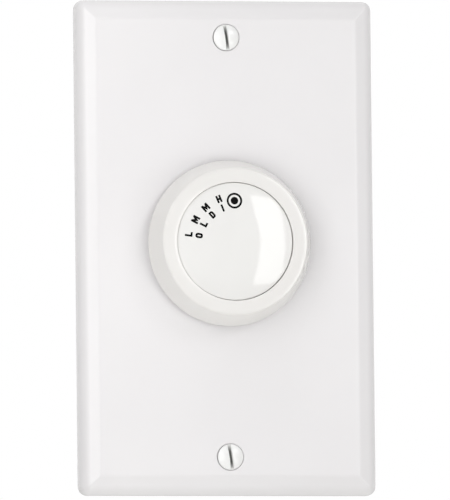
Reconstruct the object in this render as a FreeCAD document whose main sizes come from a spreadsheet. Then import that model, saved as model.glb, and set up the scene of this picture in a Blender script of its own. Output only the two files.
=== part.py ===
# Fan speed control switch: a single-gang wall plate with a rotary knob and the switch box behind it.
# Millimetres. The plate's front faces -Y, +Z is up and +Y goes into the wall. The origin is the middle of
# the plate, on the wall's surface.

import FreeCAD, Part
import math
import os
import re
import Sketcher

SIZES = [
    # wall plate
    ("plate_width", 69.85),
    ("plate_height", 114.3),
    ("plate_depth", 5.4),
    ("plate_wall", 1.9),
    ("plate_side_wall", 2.2),
    ("plate_corner_round", 2.2),
    ("bevel_run", 4.2),
    ("bevel_slope", 20),
    ("bevel_round", 3.5),
    ("plate_hole_radius", 9.2),
    ("plate_boss_side", 6.0),
    ("plate_screw_inset", 8.73),
    # the two slotted oval-head screws
    ("screw_radius", 1.75),
    ("oval_head_radius", 3.15),
    ("oval_head_rise", 0.95),
    ("oval_head_slope", 41),
    ("oval_slot_width", 1.0),
    ("oval_slot_depth", 1.15),
    ("oval_slot_turn", 8),
    ("plate_screw_length", 9.0),
    ("sink_gap", 0.15),
    ("screw_gap", 0.15),
    # knob
    ("shaft_rise", 0.8),
    ("skirt_gap", 1.2),
    ("knob_height", 7.0),
    ("knob_base_radius", 19.2),
    ("knob_front_radius", 17.0),
    ("knob_wall", 1.8),
    ("knob_web", 1.8),
    ("knob_edge_cut", 0.9),
    ("knob_edge_share", 0.3),
    ("hub_radius", 6.2),
    ("hub_gap", 0.6),
    ("bore_roof", 1.0),
    ("rib_count", 6),
    ("rib_thick", 1.2),
    ("rib_drop", 3.0),
    # cap in the knob's front
    ("cap_radius", 13.5),
    ("cap_gap", 0.15),
    ("cap_edge", 1.3),
    ("cap_sink", 0.6),
    ("cap_dome", 0.85),
    ("cap_flat_radius", 7.0),
    ("cap_peg_side", 2.0),
    ("cap_peg_length", 1.5),
    ("cap_peg_circle", 9.0),
    ("cap_peg_count", 3),
    # spring in the knob's bore
    ("grip_width", 2.6),
    ("grip_thick", 0.5),
    ("grip_hook", 1.6),
    # shaft and what holds it
    ("shaft_radius", 3.175),
    ("shaft_flat", 2.4),
    ("shaft_end_gap", 0.4),
    ("running_gap", 0.05),
    ("pivot_radius", 2.0),
    ("pivot_end", 1.5),
    ("end_play", 0.1),
    ("ring_thick", 0.6),
    ("ring_groove_radius", 2.5),
    ("ring_radius", 5.0),
    ("ring_mouth", 3.4),
    ("bushing_radius", 4.76),
    ("bushing_front", 5.6),
    ("bushing_flange_side", 13.0),
    ("bushing_flange_thick", 1.6),
    ("thread_gap", 0.05),
    ("nut_across", 12.7),
    ("nut_thick", 2.2),
    ("washer_radius", 7.2),
    ("washer_thick", 0.6),
    ("washer_tooth_count", 10),
    ("washer_tooth_depth", 1.0),
    ("washer_tooth_gap", 1.3),
    # mounting strap
    ("strap_thick", 1.3),
    ("strap_end", 3.98),
    ("strap_middle_width", 44.0),
    ("strap_over", 2.0),
    ("strap_neck_width", 19.0),
    ("ear_width", 31.0),
    ("ear_height", 9.0),
    ("ear_cut", 2.4),
    ("ear_score_reach", 7.4),
    ("ear_score_width", 0.8),
    ("ear_score_depth", 2.6),
    ("box_screw_drop", 6.75),
    ("box_slot_length", 7.0),
    ("box_slot_width", 4.0),
    ("earth_tab_width", 9.0),
    ("earth_tab_reach", 15.5),
    ("earth_tab_drop", 3.3),
    ("earth_tab_depth", 11.0),
    ("earth_tab_bend", 1.5),
    # screws to the wall box, and their retainers
    ("box_head_radius", 3.4),
    ("box_head_height", 1.9),
    ("box_neck_radius", 1.5),
    ("box_screw_reach", 24.0),
    ("box_slot_cut", 1.0),
    ("box_slot_cut_depth", 0.9),
    ("retainer_side", 9.0),
    ("retainer_thick", 0.5),
    ("retainer_gap", 0.06),
    # earth screw
    ("earth_hex_across", 6.35),
    ("earth_hex_height", 2.4),
    ("earth_screw_place", 6.0),
    ("earth_screw_reach", 2.6),
    # case and its cover
    ("housing_width", 44.0),
    ("housing_clear", 8.67),
    ("housing_depth", 33.0),
    ("housing_wall", 2.0),
    ("housing_corner_round", 2.5),
    ("rebate_step", 1.0),
    ("cover_thick", 2.0),
    ("cover_gap", 0.2),
    ("key_side", 4.0),
    ("key_inset", 4.8),
    ("key_gap", 0.15),
    ("hook_reach", 11.0),
    ("hook_width", 6.0),
    ("hook_thick", 1.5),
    ("hook_nose", 1.2),
    ("hook_catch", 6.4),
    ("hook_end", 8.0),
    ("hook_gap", 0.2),
    ("bay_depth", 5.5),
    ("bay_half_height", 8.0),
    ("bay_length", 14.0),
    ("bay_wall", 2.0),
    # notched wheel, its spring and end stops
    ("wheel_gap", 0.4),
    ("wheel_thick", 2.0),
    ("wheel_radius", 12.5),
    ("speed_step", 20),
    ("speed_count", 4),
    ("notch_radius", 1.6),
    ("notch_circle", 13.1),
    ("lug_reach", 15.4),
    ("lug_half_width", 1.3),
    ("stop_gap", 0.2),
    ("stop_side", 2.6),
    ("stop_near", 13.2),
    ("stop_far", 16.2),
    ("leaf_thick", 0.4),
    ("leaf_width", 1.8),
    ("leaf_half_length", 14.5),
    ("leaf_gap", 0.1),
    ("leaf_bump_half", 1.2),
    ("leaf_bump_drop", 1.3),
    ("leaf_pin_side", 2.2),
    ("leaf_pin_inner", 11.5),
    ("leaf_pin_outer", 13.2),
    ("leaf_pin_gap", 0.05),
    # rotor and contacts
    ("rotor_thick", 3.2),
    ("rotor_half_width", 4.8),
    ("rotor_reach", 12.0),
    ("rotor_tail", 6.0),
    ("blade_thick", 0.7),
    ("blade_half_width", 2.4),
    ("blade_start", 3.4),
    ("blade_end", 11.2),
    ("tip_side", 1.8),
    ("contact_gap", 0.15),
    ("contact_thick", 0.4),
    ("contact_side", 2.4),
    ("contact_circle", 9.4),
    ("common_circle", 5.0),
    ("common_half_length", 4.8),
    ("common_low", -6.4),
    ("common_high", -2.6),
    # board and what it carries
    ("board_front", 13.0),
    ("board_thick", 1.6),
    ("board_side_gap", 0.3),
    ("board_height", 49.0),
    ("board_post_side", 3.6),
    ("board_post_inset", 3.0),
    ("board_post_reach_z", 20.0),
    ("board_rest_half", 2.0),
    ("board_rest_inset", 5.0),
    ("capacitor_width", 24.0),
    ("capacitor_depth", 14.5),
    ("capacitor_corner_round", 1.5),
    ("lead_side", 0.7),
    ("large_low", 4.2),
    ("large_edge", 0.3),
    ("small_edge", 3.5),
    ("small_high", -5.2),
    ("lead_hole_gap", 0.1),
    ("lead_spacing", 18.0),
    ("lead_stub", 0.8),
    ("resistor_radius", 1.2),
    ("resistor_half_length", 3.3),
    ("resistor_lead_half", 5.4),
    ("resistor_lift", 1.6),
    ("resistor_upper", -3.4),
    ("resistor_edge", 1.7),
    # wire terminals
    ("terminal_thick", 0.9),
    ("terminal_half_height", 6.5),
    ("terminal_length", 11.0),
    ("terminal_inset", 1.2),
    ("tail_half_width", 2.0),
    ("tail_gap", 0.15),
    ("binding_head_radius", 4.0),
    ("binding_head_height", 1.9),
    ("binding_slot_cut", 1.1),
    ("binding_slot_cut_depth", 0.9),
    ("binding_reach", 4.0),
    ("binding_hole_gap", 0.4),
]

Y_AXIS = FreeCAD.Vector(0, 1, 0)
Z_AXIS = FreeCAD.Vector(0, 0, 1)
NEAR = 1e-4

doc = FreeCAD.newDocument("fan_speed_control")
sheet = doc.addObject("Spreadsheet::Sheet", "sizes")
for row, (alias, size) in enumerate(SIZES, 1):
    sheet.set(f"A{row}", alias)
    sheet.set(f"B{row}", str(size))
    sheet.setAlias(f"B{row}", alias)
calculator = doc.addObject("Spreadsheet::Sheet", "calculator")
doc.recompute()

alias_words = re.compile(r"\b(" + "|".join(alias for alias, size in SIZES) + r")\b")

# heights above the middle that follow from the plate's height
PLATE_SCREW = "(plate_height / 2 - plate_screw_inset)"
STRAP_END = f"({PLATE_SCREW} + strap_end)"
BOX_SCREW = f"({PLATE_SCREW} - box_screw_drop)"
HOUSING_TALL = f"({BOX_SCREW} - housing_clear)"
STRAP_TALL = f"({HOUSING_TALL} + strap_over)"
KEY = f"({HOUSING_TALL} - key_inset)"
EARTH_TAB_UNDER = f"(-{STRAP_TALL} - earth_tab_drop)"

# places across the case that follow from its inside width
CAVITY_WIDE = "(housing_width / 2 - housing_wall)"
BOARD_EDGE = f"({CAVITY_WIDE} - board_side_gap)"
BOARD_POST = f"({CAVITY_WIDE} - board_post_inset)"
BOARD_REST = f"({CAVITY_WIDE} - board_rest_inset)"

# heights on the board that follow from its own height
LARGE_TOP = "(board_height / 2 - large_edge)"
SMALL_FOOT = "(small_edge - board_height / 2)"
RESISTOR_FOOT = "(resistor_edge - board_height / 2)"

# levels along Y that several pieces share; forward of the wall is negative
STRAP_FRONT = "(-strap_thick)"
PLATE_FACE = "(-plate_depth)"
SKIRT = "(-(plate_depth + skirt_gap))"
RING_TOP = "(-(plate_depth + skirt_gap + knob_height))"
CAP_RIM = f"({RING_TOP} + cap_sink)"
RECESS_FLOOR = f"({CAP_RIM} + cap_edge)"
WEB_BACK = f"({RECESS_FLOOR} + knob_web)"
HUB_END = "(-(bushing_front + hub_gap))"
BORE_END = f"({RECESS_FLOOR} + bore_roof)"
SHAFT_END = f"({BORE_END} + shaft_end_gap)"
BUSHING_BACK = "(cover_thick + bushing_flange_thick)"
RING_FRONT = f"({BUSHING_BACK} + end_play)"
RING_BACK = f"({RING_FRONT} + ring_thick)"
WHEEL_FRONT = f"({RING_BACK} + wheel_gap)"
WHEEL_BACK = f"({WHEEL_FRONT} + wheel_thick)"
ROTOR_BACK = f"({WHEEL_BACK} + rotor_thick)"
BLADE_BACK = f"({ROTOR_BACK} + blade_thick)"
CONTACT_FACE = "(board_front - contact_thick)"
BOARD_BACK = "(board_front + board_thick)"
CAVITY_BACK = "(housing_depth - housing_wall)"
BAY_FRONT = "(housing_depth - bay_length)"
BAY_FLOOR = "(housing_width / 2 - bay_depth)"
TERMINAL_FACE = f"({BAY_FLOOR} + terminal_thick)"
TERMINAL_FRONT = f"({BAY_FRONT} + terminal_inset)"
TERMINAL_MIDDLE = f"({TERMINAL_FRONT} + terminal_length / 2)"
LEAF_UNDER = "(notch_circle - notch_radius + leaf_gap + leaf_bump_drop)"


def full(expression):
    return alias_words.sub(r"sizes.\1", expression)


def number(expression):
    calculator.set("A1", "=" + full(expression))
    calculator.recompute()
    return float(calculator.get("A1"))


def bind(thing, name, expression):
    thing.setExpression(name, full(expression))


def new_body(name):
    return doc.addObject("PartDesign::Body", name)


def origin_part(body, role):
    return next(item for item in body.Origin.OriginFeatures if item.Role == role)


# A sketch on one of the body's planes; level is where it lies along Y, X or Z.
def new_sketch(body, role, name, level="0"):
    sketch = body.newObject("Sketcher::SketchObject", name)
    sketch.AttachmentSupport = [(origin_part(body, role), "")]
    sketch.MapMode = "FlatFace"
    sign = "-" if role == "XZ_Plane" else ""
    bind(sketch, "AttachmentOffset.Base.z", f"{sign}({level})")
    return sketch


def hold_point(sketch, item, end, point):
    for kind, expression in zip(("DistanceX", "DistanceY"), point):
        index = sketch.addConstraint(Sketcher.Constraint(kind, -1, 1, item, end, number(expression)))
        bind(sketch, f"Constraints[{index}]", expression)


# A closed outline through points; bends gives the radius of the arc that leaves a point, by its index.
# The arc bulges to the right of its run, or to the left if the radius has a minus sign in front.
def outline(sketch, points, bends=None):
    bends = bends or {}
    corners = [FreeCAD.Vector(number(across), number(up), 0) for across, up in points]
    count = len(points)
    ends = []
    for place, start in enumerate(corners):
        finish = corners[(place + 1) % count]
        if place in bends:
            expression = bends[place]
            leftward = expression.startswith("-")
            radius = number(expression.lstrip("-"))
            chord = finish - start
            aside = FreeCAD.Vector(chord.y, -chord.x, 0).normalize() * (-1 if leftward else 1)
            sagitta = radius - math.sqrt(radius**2 - (chord.Length / 2) ** 2)
            top = (start + finish) / 2 + aside * sagitta
            if leftward:
                ends.append((sketch.addGeometry(Part.Arc(finish, top, start)), 2, 1))
            else:
                ends.append((sketch.addGeometry(Part.Arc(start, top, finish)), 1, 2))
        else:
            item = sketch.addGeometry(Part.LineSegment(start, finish))
            ends.append((item, 1, 2))
    for place in range(count):
        item, first, last = ends[place]
        after, after_first, after_last = ends[(place + 1) % count]
        sketch.addConstraint(Sketcher.Constraint("Coincident", item, last, after, after_first))
    for place, point in enumerate(points):
        hold_point(sketch, ends[place][0], ends[place][1], point)
    for place, expression in bends.items():
        radius = expression.lstrip("-")
        constraint = Sketcher.Constraint("Radius", ends[place][0], number(radius))
        index = sketch.addConstraint(constraint)
        bind(sketch, f"Constraints[{index}]", radius)


def rectangle(sketch, left, low, right, high):
    outline(sketch, [(left, low), (right, low), (right, high), (left, high)])


def square(sketch, across, up, side):
    half = f"({side}) / 2"
    rectangle(sketch, f"{across} - {half}", f"{up} - {half}", f"{across} + {half}", f"{up} + {half}")


def circle(sketch, across, up, radius):
    centre = FreeCAD.Vector(number(across), number(up), 0)
    item = sketch.addGeometry(Part.Circle(centre, Z_AXIS, number(radius)))
    hold_point(sketch, item, 3, (across, up))
    index = sketch.addConstraint(Sketcher.Constraint("Radius", item, number(radius)))
    bind(sketch, f"Constraints[{index}]", radius)


# A round hole with one flat side below its middle, for the D shaft.
def flatted_hole(sketch, radius, flat):
    chord = f"sqrt(({radius})^2 - ({flat})^2)"
    left = FreeCAD.Vector(-number(chord), -number(flat), 0)
    right = FreeCAD.Vector(number(chord), -number(flat), 0)
    top = FreeCAD.Vector(0, number(radius), 0)
    arc = sketch.addGeometry(Part.Arc(right, top, left))
    line = sketch.addGeometry(Part.LineSegment(left, right))
    sketch.addConstraint(Sketcher.Constraint("Coincident", arc, 2, line, 1))
    sketch.addConstraint(Sketcher.Constraint("Coincident", line, 2, arc, 1))
    sketch.addConstraint(Sketcher.Constraint("Coincident", arc, 3, -1, 1))
    index = sketch.addConstraint(Sketcher.Constraint("Radius", arc, number(radius)))
    bind(sketch, f"Constraints[{index}]", radius)
    sketch.addConstraint(Sketcher.Constraint("Horizontal", line))
    index = sketch.addConstraint(Sketcher.Constraint("DistanceY", -1, 1, line, 1, -number(flat)))
    bind(sketch, f"Constraints[{index}]", f"-({flat})")


# A long hole with round ends, level across.
def long_hole(sketch, across, up, length, width):
    reach = f"(({length}) - ({width})) / 2"
    low = f"({up}) - ({width}) / 2"
    high = f"({up}) + ({width}) / 2"
    left = f"({across}) - {reach}"
    right = f"({across}) + {reach}"
    half = number(f"({width}) / 2")
    middle = number(up)
    lower = sketch.addGeometry(Part.LineSegment(
        FreeCAD.Vector(number(left), number(low), 0), FreeCAD.Vector(number(right), number(low), 0)))
    east = sketch.addGeometry(Part.Arc(
        FreeCAD.Vector(number(right), number(low), 0), FreeCAD.Vector(number(right) + half, middle, 0),
        FreeCAD.Vector(number(right), number(high), 0)))
    upper = sketch.addGeometry(Part.LineSegment(
        FreeCAD.Vector(number(right), number(high), 0), FreeCAD.Vector(number(left), number(high), 0)))
    west = sketch.addGeometry(Part.Arc(
        FreeCAD.Vector(number(left), number(high), 0), FreeCAD.Vector(number(left) - half, middle, 0),
        FreeCAD.Vector(number(left), number(low), 0)))
    run = [lower, east, upper, west]
    for item, after in zip(run, run[1:] + run[:1]):
        sketch.addConstraint(Sketcher.Constraint("Coincident", item, 2, after, 1))
    for item, point in zip(run, ((left, low), (right, low), (right, high), (left, high))):
        hold_point(sketch, item, 1, point)
    for item, middle_across in ((east, right), (west, left)):
        constraint = Sketcher.Constraint("DistanceX", -1, 1, item, 3, number(middle_across))
        index = sketch.addConstraint(constraint)
        bind(sketch, f"Constraints[{index}]", middle_across)


def pad(body, sketch, length, both_ways=False):
    feature = body.newObject("PartDesign::Pad", sketch.Name + "_pad")
    feature.Profile = sketch
    bind(feature, "Length", length)
    feature.Midplane = both_ways
    return feature


# A pocket runs against its plane's normal, so on XZ it goes back into the wall unless turned round.
def pocket(body, sketch, length, turned=False, both_ways=False):
    feature = body.newObject("PartDesign::Pocket", sketch.Name + "_pocket")
    feature.Profile = sketch
    bind(feature, "Length", length)
    feature.Reversed = turned
    feature.Midplane = both_ways
    return feature


# A turned piece: the outline lies in the XY plane, across is the radius and up is Y.
def turn(body, name, points, bends=None):
    sketch = new_sketch(body, "XY_Plane", name)
    outline(sketch, points, bends)
    feature = body.newObject("PartDesign::Revolution", name + "_turn")
    feature.Profile = sketch
    feature.ReferenceAxis = (sketch, ["V_Axis"])
    feature.Angle = 360
    return feature


def repeat_round(body, features, count, angle="360", reverse=False):
    pattern = body.newObject("PartDesign::PolarPattern", features[0].Name + "_round")
    pattern.Originals = features
    pattern.Axis = (origin_part(body, "Y_Axis"), [""])
    bind(pattern, "Angle", angle)
    bind(pattern, "Occurrences", count)
    pattern.Reversed = reverse
    body.Tip = pattern
    return pattern


def edge_names(shape, test):
    return [f"Edge{place}" for place, edge in enumerate(shape.Edges, 1) if test(edge)]


def round_edges(body, name, test, radius):
    doc.recompute()
    base = body.Tip
    feature = body.newObject("PartDesign::Fillet", name)
    feature.Base = (base, edge_names(base.Shape, test))
    bind(feature, "Radius", radius)
    return feature


def runs_along(edge, axis):
    if not isinstance(edge.Curve, Part.Line):
        return False
    return abs(abs(edge.Curve.Direction.dot(axis)) - 1) < NEAR


def group(name, members):
    compound = doc.addObject("Part::Compound", name)
    compound.Links = members
    return compound


def place_body(body, across="0", depth="0", up="0"):
    bind(body, "Placement.Base.x", across)
    bind(body, "Placement.Base.y", depth)
    bind(body, "Placement.Base.z", up)


# Section of the plate's rim in half: a low lip, a round edge, then a shallow slope up to the crease.
def rim_section(half):
    round_in = f"({half} - bevel_round * (1 - sin(bevel_slope * 1 deg)))"
    slope_rise = "(bevel_run - bevel_round * (1 - sin(bevel_slope * 1 deg))) * tan(bevel_slope * 1 deg)"
    shoulder = f"(plate_depth - {slope_rise})"
    lip = f"({shoulder} - bevel_round * cos(bevel_slope * 1 deg))"
    crease = f"({half} - bevel_run)"
    return round_in, shoulder, lip, crease


def plate_section(name, role, half, length):
    round_in, shoulder, lip, crease = rim_section(half)
    body = new_body(name)
    sketch = new_sketch(body, role, name + "_sketch")
    across = [f"-{half}", half, half, round_in, crease, f"-{crease}", f"-{round_in}", f"-{half}"]
    forward = ["0", "0", f"-{lip}", f"-{shoulder}", PLATE_FACE, PLATE_FACE, f"-{shoulder}", f"-{lip}"]
    if role == "XY_Plane":
        outline(sketch, list(zip(across, forward)), {2: "-bevel_round", 6: "-bevel_round"})
    else:
        outline(sketch, list(zip(forward, across)), {2: "bevel_round", 6: "bevel_round"})
    pad(body, sketch, length, both_ways=True)
    return body


# The rim's section runs along all four sides, so the bevels meet in mitres at the corners.
def make_wall_plate():
    across = plate_section("plate_across", "XY_Plane", "(plate_width / 2)", "plate_height")
    upright = plate_section("plate_upright", "YZ_Plane", "(plate_height / 2)", "plate_width")
    edge = new_body("plate_edge")
    sketch = new_sketch(edge, "XZ_Plane", "plate_edge_sketch")
    rectangle(sketch, "-plate_width / 2", "-plate_height / 2", "plate_width / 2", "plate_height / 2")
    pad(edge, sketch, "plate_depth")
    round_edges(edge, "plate_corners", lambda item: runs_along(item, Y_AXIS), "plate_corner_round")
    blank = doc.addObject("Part::MultiCommon", "plate_blank")
    blank.Shapes = [across, upright, edge]
    doc.recompute()
    body = new_body("wall_plate")
    body.BaseFeature = blank
    hollow = new_sketch(body, "XZ_Plane", "plate_hollow")
    half_wide = "(plate_width / 2 - plate_side_wall)"
    half_tall = "(plate_height / 2 - plate_side_wall)"
    rectangle(hollow, f"-{half_wide}", f"-{half_tall}", half_wide, half_tall)
    pocket(body, hollow, "plate_depth - plate_wall", turned=True)
    bosses = new_sketch(body, "XZ_Plane", "plate_bosses", STRAP_FRONT)
    square(bosses, "0", PLATE_SCREW, "plate_boss_side")
    square(bosses, "0", f"-{PLATE_SCREW}", "plate_boss_side")
    pad(body, bosses, "plate_depth - plate_wall / 2 - strap_thick")
    shank_holes = new_sketch(body, "XZ_Plane", "plate_shank_holes", PLATE_FACE)
    circle(shank_holes, "0", PLATE_SCREW, "screw_radius + screw_gap")
    circle(shank_holes, "0", f"-{PLATE_SCREW}", "screw_radius + screw_gap")
    pocket(body, shank_holes, "plate_depth")
    knob_hole = new_sketch(body, "XZ_Plane", "plate_knob_hole", PLATE_FACE)
    circle(knob_hole, "0", "shaft_rise", "plate_hole_radius")
    pocket(body, knob_hole, "plate_depth")
    doc.recompute()
    base = body.Tip
    face = number(PLATE_FACE)
    shank = number("screw_radius + screw_gap")
    mouths = edge_names(base.Shape, lambda item: isinstance(item.Curve, Part.Circle)
                        and abs(item.Curve.Radius - shank) < NEAR
                        and abs(item.Curve.Center.y - face) < NEAR)
    sinks = body.newObject("PartDesign::Chamfer", "plate_sinks")
    sinks.Base = (base, mouths)
    sinks.ChamferType = "Distance and Angle"
    sinks.FlipDirection = False
    bind(sinks, "Size", "oval_head_radius + sink_gap - screw_radius - screw_gap")
    bind(sinks, "Angle", "90 - oval_head_slope")
    return body


# Oval-head screw: coned under its head, domed above, with its slot turned as the photo shows it.
def make_oval_screw(name, up):
    body = new_body(name)
    cone = "((oval_head_radius - screw_radius) / tan(oval_head_slope * 1 deg))"
    dome = "((oval_head_radius^2 + oval_head_rise^2) / (2 * oval_head_rise))"
    turn(body, name + "_profile", [
        ("0", "-oval_head_rise"),
        ("oval_head_radius", "0"),
        ("screw_radius", cone),
        ("screw_radius", "plate_screw_length"),
        ("0", "plate_screw_length"),
    ], {0: dome})
    slot = new_sketch(body, "XZ_Plane", name + "_slot", "-oval_head_rise")
    rectangle(slot, "-oval_slot_width / 2", "-oval_head_radius", "oval_slot_width / 2", "oval_head_radius")
    pocket(body, slot, "oval_slot_depth")
    place_body(body, depth=PLATE_FACE, up=up)
    body.Placement.Rotation = FreeCAD.Rotation(Y_AXIS, -number("oval_slot_turn"))
    return body


def make_plate_screws():
    return group("plate_screws", [
        make_oval_screw("upper_plate_screw", PLATE_SCREW),
        make_oval_screw("lower_plate_screw", f"-{PLATE_SCREW}"),
    ])


# The cap's pegs and their holes are square, on one circle round the axis.
def peg_square(sketch, half):
    rectangle(sketch, f"-{half}", f"cap_peg_circle - {half}", half, f"cap_peg_circle + {half}")


# Knob: a tapered skirt and a raised ring turned in one, with a ribbed hub that takes the D shaft.
def make_knob_body():
    body = new_body("knob_body")
    flank = "knob_front_radius + knob_edge_cut * (knob_base_radius - knob_front_radius) / knob_height"
    corner = "knob_edge_cut * knob_edge_share"
    inside = "knob_front_radius - knob_wall"
    turn(body, "knob_profile", [
        ("0", RECESS_FLOOR),
        ("0", WEB_BACK),
        (inside, WEB_BACK),
        (inside, SKIRT),
        ("knob_base_radius", SKIRT),
        (flank, f"{RING_TOP} + knob_edge_cut"),
        (f"knob_front_radius - {corner}", f"{RING_TOP} + {corner}"),
        ("knob_front_radius - knob_edge_cut", RING_TOP),
        ("cap_radius + cap_gap", RING_TOP),
        ("cap_radius + cap_gap", RECESS_FLOOR),
    ])
    hub = new_sketch(body, "XZ_Plane", "knob_hub", HUB_END)
    circle(hub, "0", "0", "hub_radius")
    pad(body, hub, f"{HUB_END} - {WEB_BACK} + knob_web / 2")
    rib = new_sketch(body, "XZ_Plane", "knob_rib", f"{SKIRT} - rib_drop")
    rectangle(rib, "-rib_thick / 2", "hub_radius - knob_wall / 2", "rib_thick / 2",
              "knob_front_radius - knob_wall / 2")
    ribs = pad(body, rib, f"{SKIRT} - rib_drop - {WEB_BACK} + knob_web / 2")
    repeat_round(body, [ribs], "rib_count")
    bore = new_sketch(body, "XZ_Plane", "knob_bore", BORE_END)
    flatted_hole(bore, "shaft_radius + running_gap", "shaft_flat + grip_thick")
    pocket(body, bore, f"{HUB_END} - {BORE_END}")
    peg_hole = new_sketch(body, "XZ_Plane", "knob_peg_hole", RECESS_FLOOR)
    peg_square(peg_hole, "(cap_peg_side / 2 + running_gap)")
    peg_holes = pocket(body, peg_hole, "knob_web")
    repeat_round(body, [peg_holes], "cap_peg_count")
    place_body(body, up="shaft_rise")
    return body


# Cap: a disc that falls away to its rim, with pegs that go into the knob's web.
def make_knob_cap():
    body = new_body("knob_cap")
    turn(body, "cap_profile", [
        ("0", RECESS_FLOOR),
        ("cap_radius", RECESS_FLOOR),
        ("cap_radius", CAP_RIM),
        ("cap_flat_radius", f"{CAP_RIM} - cap_dome"),
        ("0", f"{CAP_RIM} - cap_dome"),
    ])
    peg = new_sketch(body, "XZ_Plane", "cap_peg", f"{RECESS_FLOOR} + cap_peg_length")
    peg_square(peg, "(cap_peg_side / 2)")
    pegs = pad(body, peg, "cap_peg_length + cap_edge / 2")
    repeat_round(body, [pegs], "cap_peg_count")
    place_body(body, up="shaft_rise")
    return body


# Spring leaf between the shaft's flat and the knob's bore, hooked over the end of the hub.
def make_knob_grip_spring():
    body = new_body("knob_grip_spring")
    sketch = new_sketch(body, "YZ_Plane", "grip_profile")
    hook_back = f"({HUB_END} + grip_thick)"
    outline(sketch, [
        (BORE_END, "-shaft_flat"),
        (BORE_END, "-shaft_flat - grip_thick"),
        (HUB_END, "-shaft_flat - grip_thick"),
        (HUB_END, "-shaft_flat - grip_thick - grip_hook"),
        (hook_back, "-shaft_flat - grip_thick - grip_hook"),
        (hook_back, "-shaft_flat"),
    ])
    pad(body, sketch, "grip_width", both_ways=True)
    place_body(body, up="shaft_rise")
    return body


# D shaft: flatted in front for the knob and behind for the wheel and rotor, with a ring groove and a pivot.
def make_shaft():
    body = new_body("shaft")
    turn(body, "shaft_profile", [
        ("0", SHAFT_END),
        ("shaft_radius", SHAFT_END),
        ("shaft_radius", RING_FRONT),
        ("ring_groove_radius", RING_FRONT),
        ("ring_groove_radius", RING_BACK),
        ("shaft_radius", RING_BACK),
        ("shaft_radius", BLADE_BACK),
        ("pivot_radius", BLADE_BACK),
        ("pivot_radius", f"{BOARD_BACK} + pivot_end"),
        ("0", f"{BOARD_BACK} + pivot_end"),
    ])
    front = new_sketch(body, "XZ_Plane", "shaft_front_flat", SHAFT_END)
    rectangle(front, "-shaft_radius", "-shaft_radius", "shaft_radius", "-shaft_flat")
    pocket(body, front, f"{HUB_END} + grip_thick + shaft_end_gap / 2 - {SHAFT_END}")
    back = new_sketch(body, "XZ_Plane", "shaft_back_flat", WHEEL_FRONT)
    rectangle(back, "-shaft_radius", "-shaft_radius", "shaft_radius", "-shaft_flat")
    pocket(body, back, f"{BLADE_BACK} - {WHEEL_FRONT}")
    place_body(body, up="shaft_rise")
    return body


# Open ring that snaps into the shaft's groove from below.
def make_retaining_ring():
    body = new_body("retaining_ring")
    sketch = new_sketch(body, "XZ_Plane", "ring_outline", RING_BACK)
    circle(sketch, "0", "0", "ring_radius")
    circle(sketch, "0", "0", "ring_groove_radius + running_gap")
    pad(body, sketch, "ring_thick")
    mouth = new_sketch(body, "XZ_Plane", "ring_mouth_cut", RING_FRONT)
    rectangle(mouth, "-ring_mouth / 2", "-ring_radius", "ring_mouth / 2", "0")
    pocket(body, mouth, "ring_thick")
    place_body(body, up="shaft_rise")
    return body


# Bushing: its square flange sits behind the cover, and its thread comes out through the strap.
def make_bushing():
    body = new_body("bushing")
    bore = "shaft_radius + running_gap"
    flange = new_sketch(body, "XZ_Plane", "bushing_flange", BUSHING_BACK)
    square(flange, "0", "0", "bushing_flange_side")
    circle(flange, "0", "0", bore)
    pad(body, flange, "bushing_flange_thick")
    barrel = new_sketch(body, "XZ_Plane", "bushing_barrel", "cover_thick + bushing_flange_thick / 2")
    circle(barrel, "0", "0", "bushing_radius")
    circle(barrel, "0", "0", bore)
    pad(body, barrel, "cover_thick + bushing_flange_thick / 2 + bushing_front")
    place_body(body, up="shaft_rise")
    return body


def hexagon(sketch, across_flats):
    corner = f"(({across_flats}) / sqrt(3))"
    outline(sketch, [(f"{corner} * cos({60 * place} deg)", f"{corner} * sin({60 * place} deg)")
                     for place in range(6)])


def make_bushing_nut():
    body = new_body("bushing_nut")
    sketch = new_sketch(body, "XZ_Plane", "nut_outline", "-(strap_thick + washer_thick)")
    hexagon(sketch, "nut_across")
    circle(sketch, "0", "0", "bushing_radius + thread_gap")
    pad(body, sketch, "nut_thick")
    place_body(body, up="shaft_rise")
    return body


# Lock washer with inner teeth, left between cut-outs round its bore.
def make_lock_washer():
    body = new_body("lock_washer")
    sketch = new_sketch(body, "XZ_Plane", "washer_outline", STRAP_FRONT)
    circle(sketch, "0", "0", "washer_radius")
    circle(sketch, "0", "0", "bushing_radius + thread_gap")
    pad(body, sketch, "washer_thick")
    tooth = new_sketch(body, "XZ_Plane", "washer_tooth", "-(strap_thick + washer_thick)")
    rectangle(tooth, "-washer_tooth_gap / 2", "bushing_radius - washer_tooth_depth",
              "washer_tooth_gap / 2", "bushing_radius + washer_tooth_depth")
    teeth = pocket(body, tooth, "washer_thick")
    repeat_round(body, [teeth], "washer_tooth_count")
    place_body(body, up="shaft_rise")
    return body


# The four places of a thing that repeats in each quarter.
def four_places(across, up):
    return [(f"{side}({across})", f"{end}({up})") for side in ("", "-") for end in ("", "-")]


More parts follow.
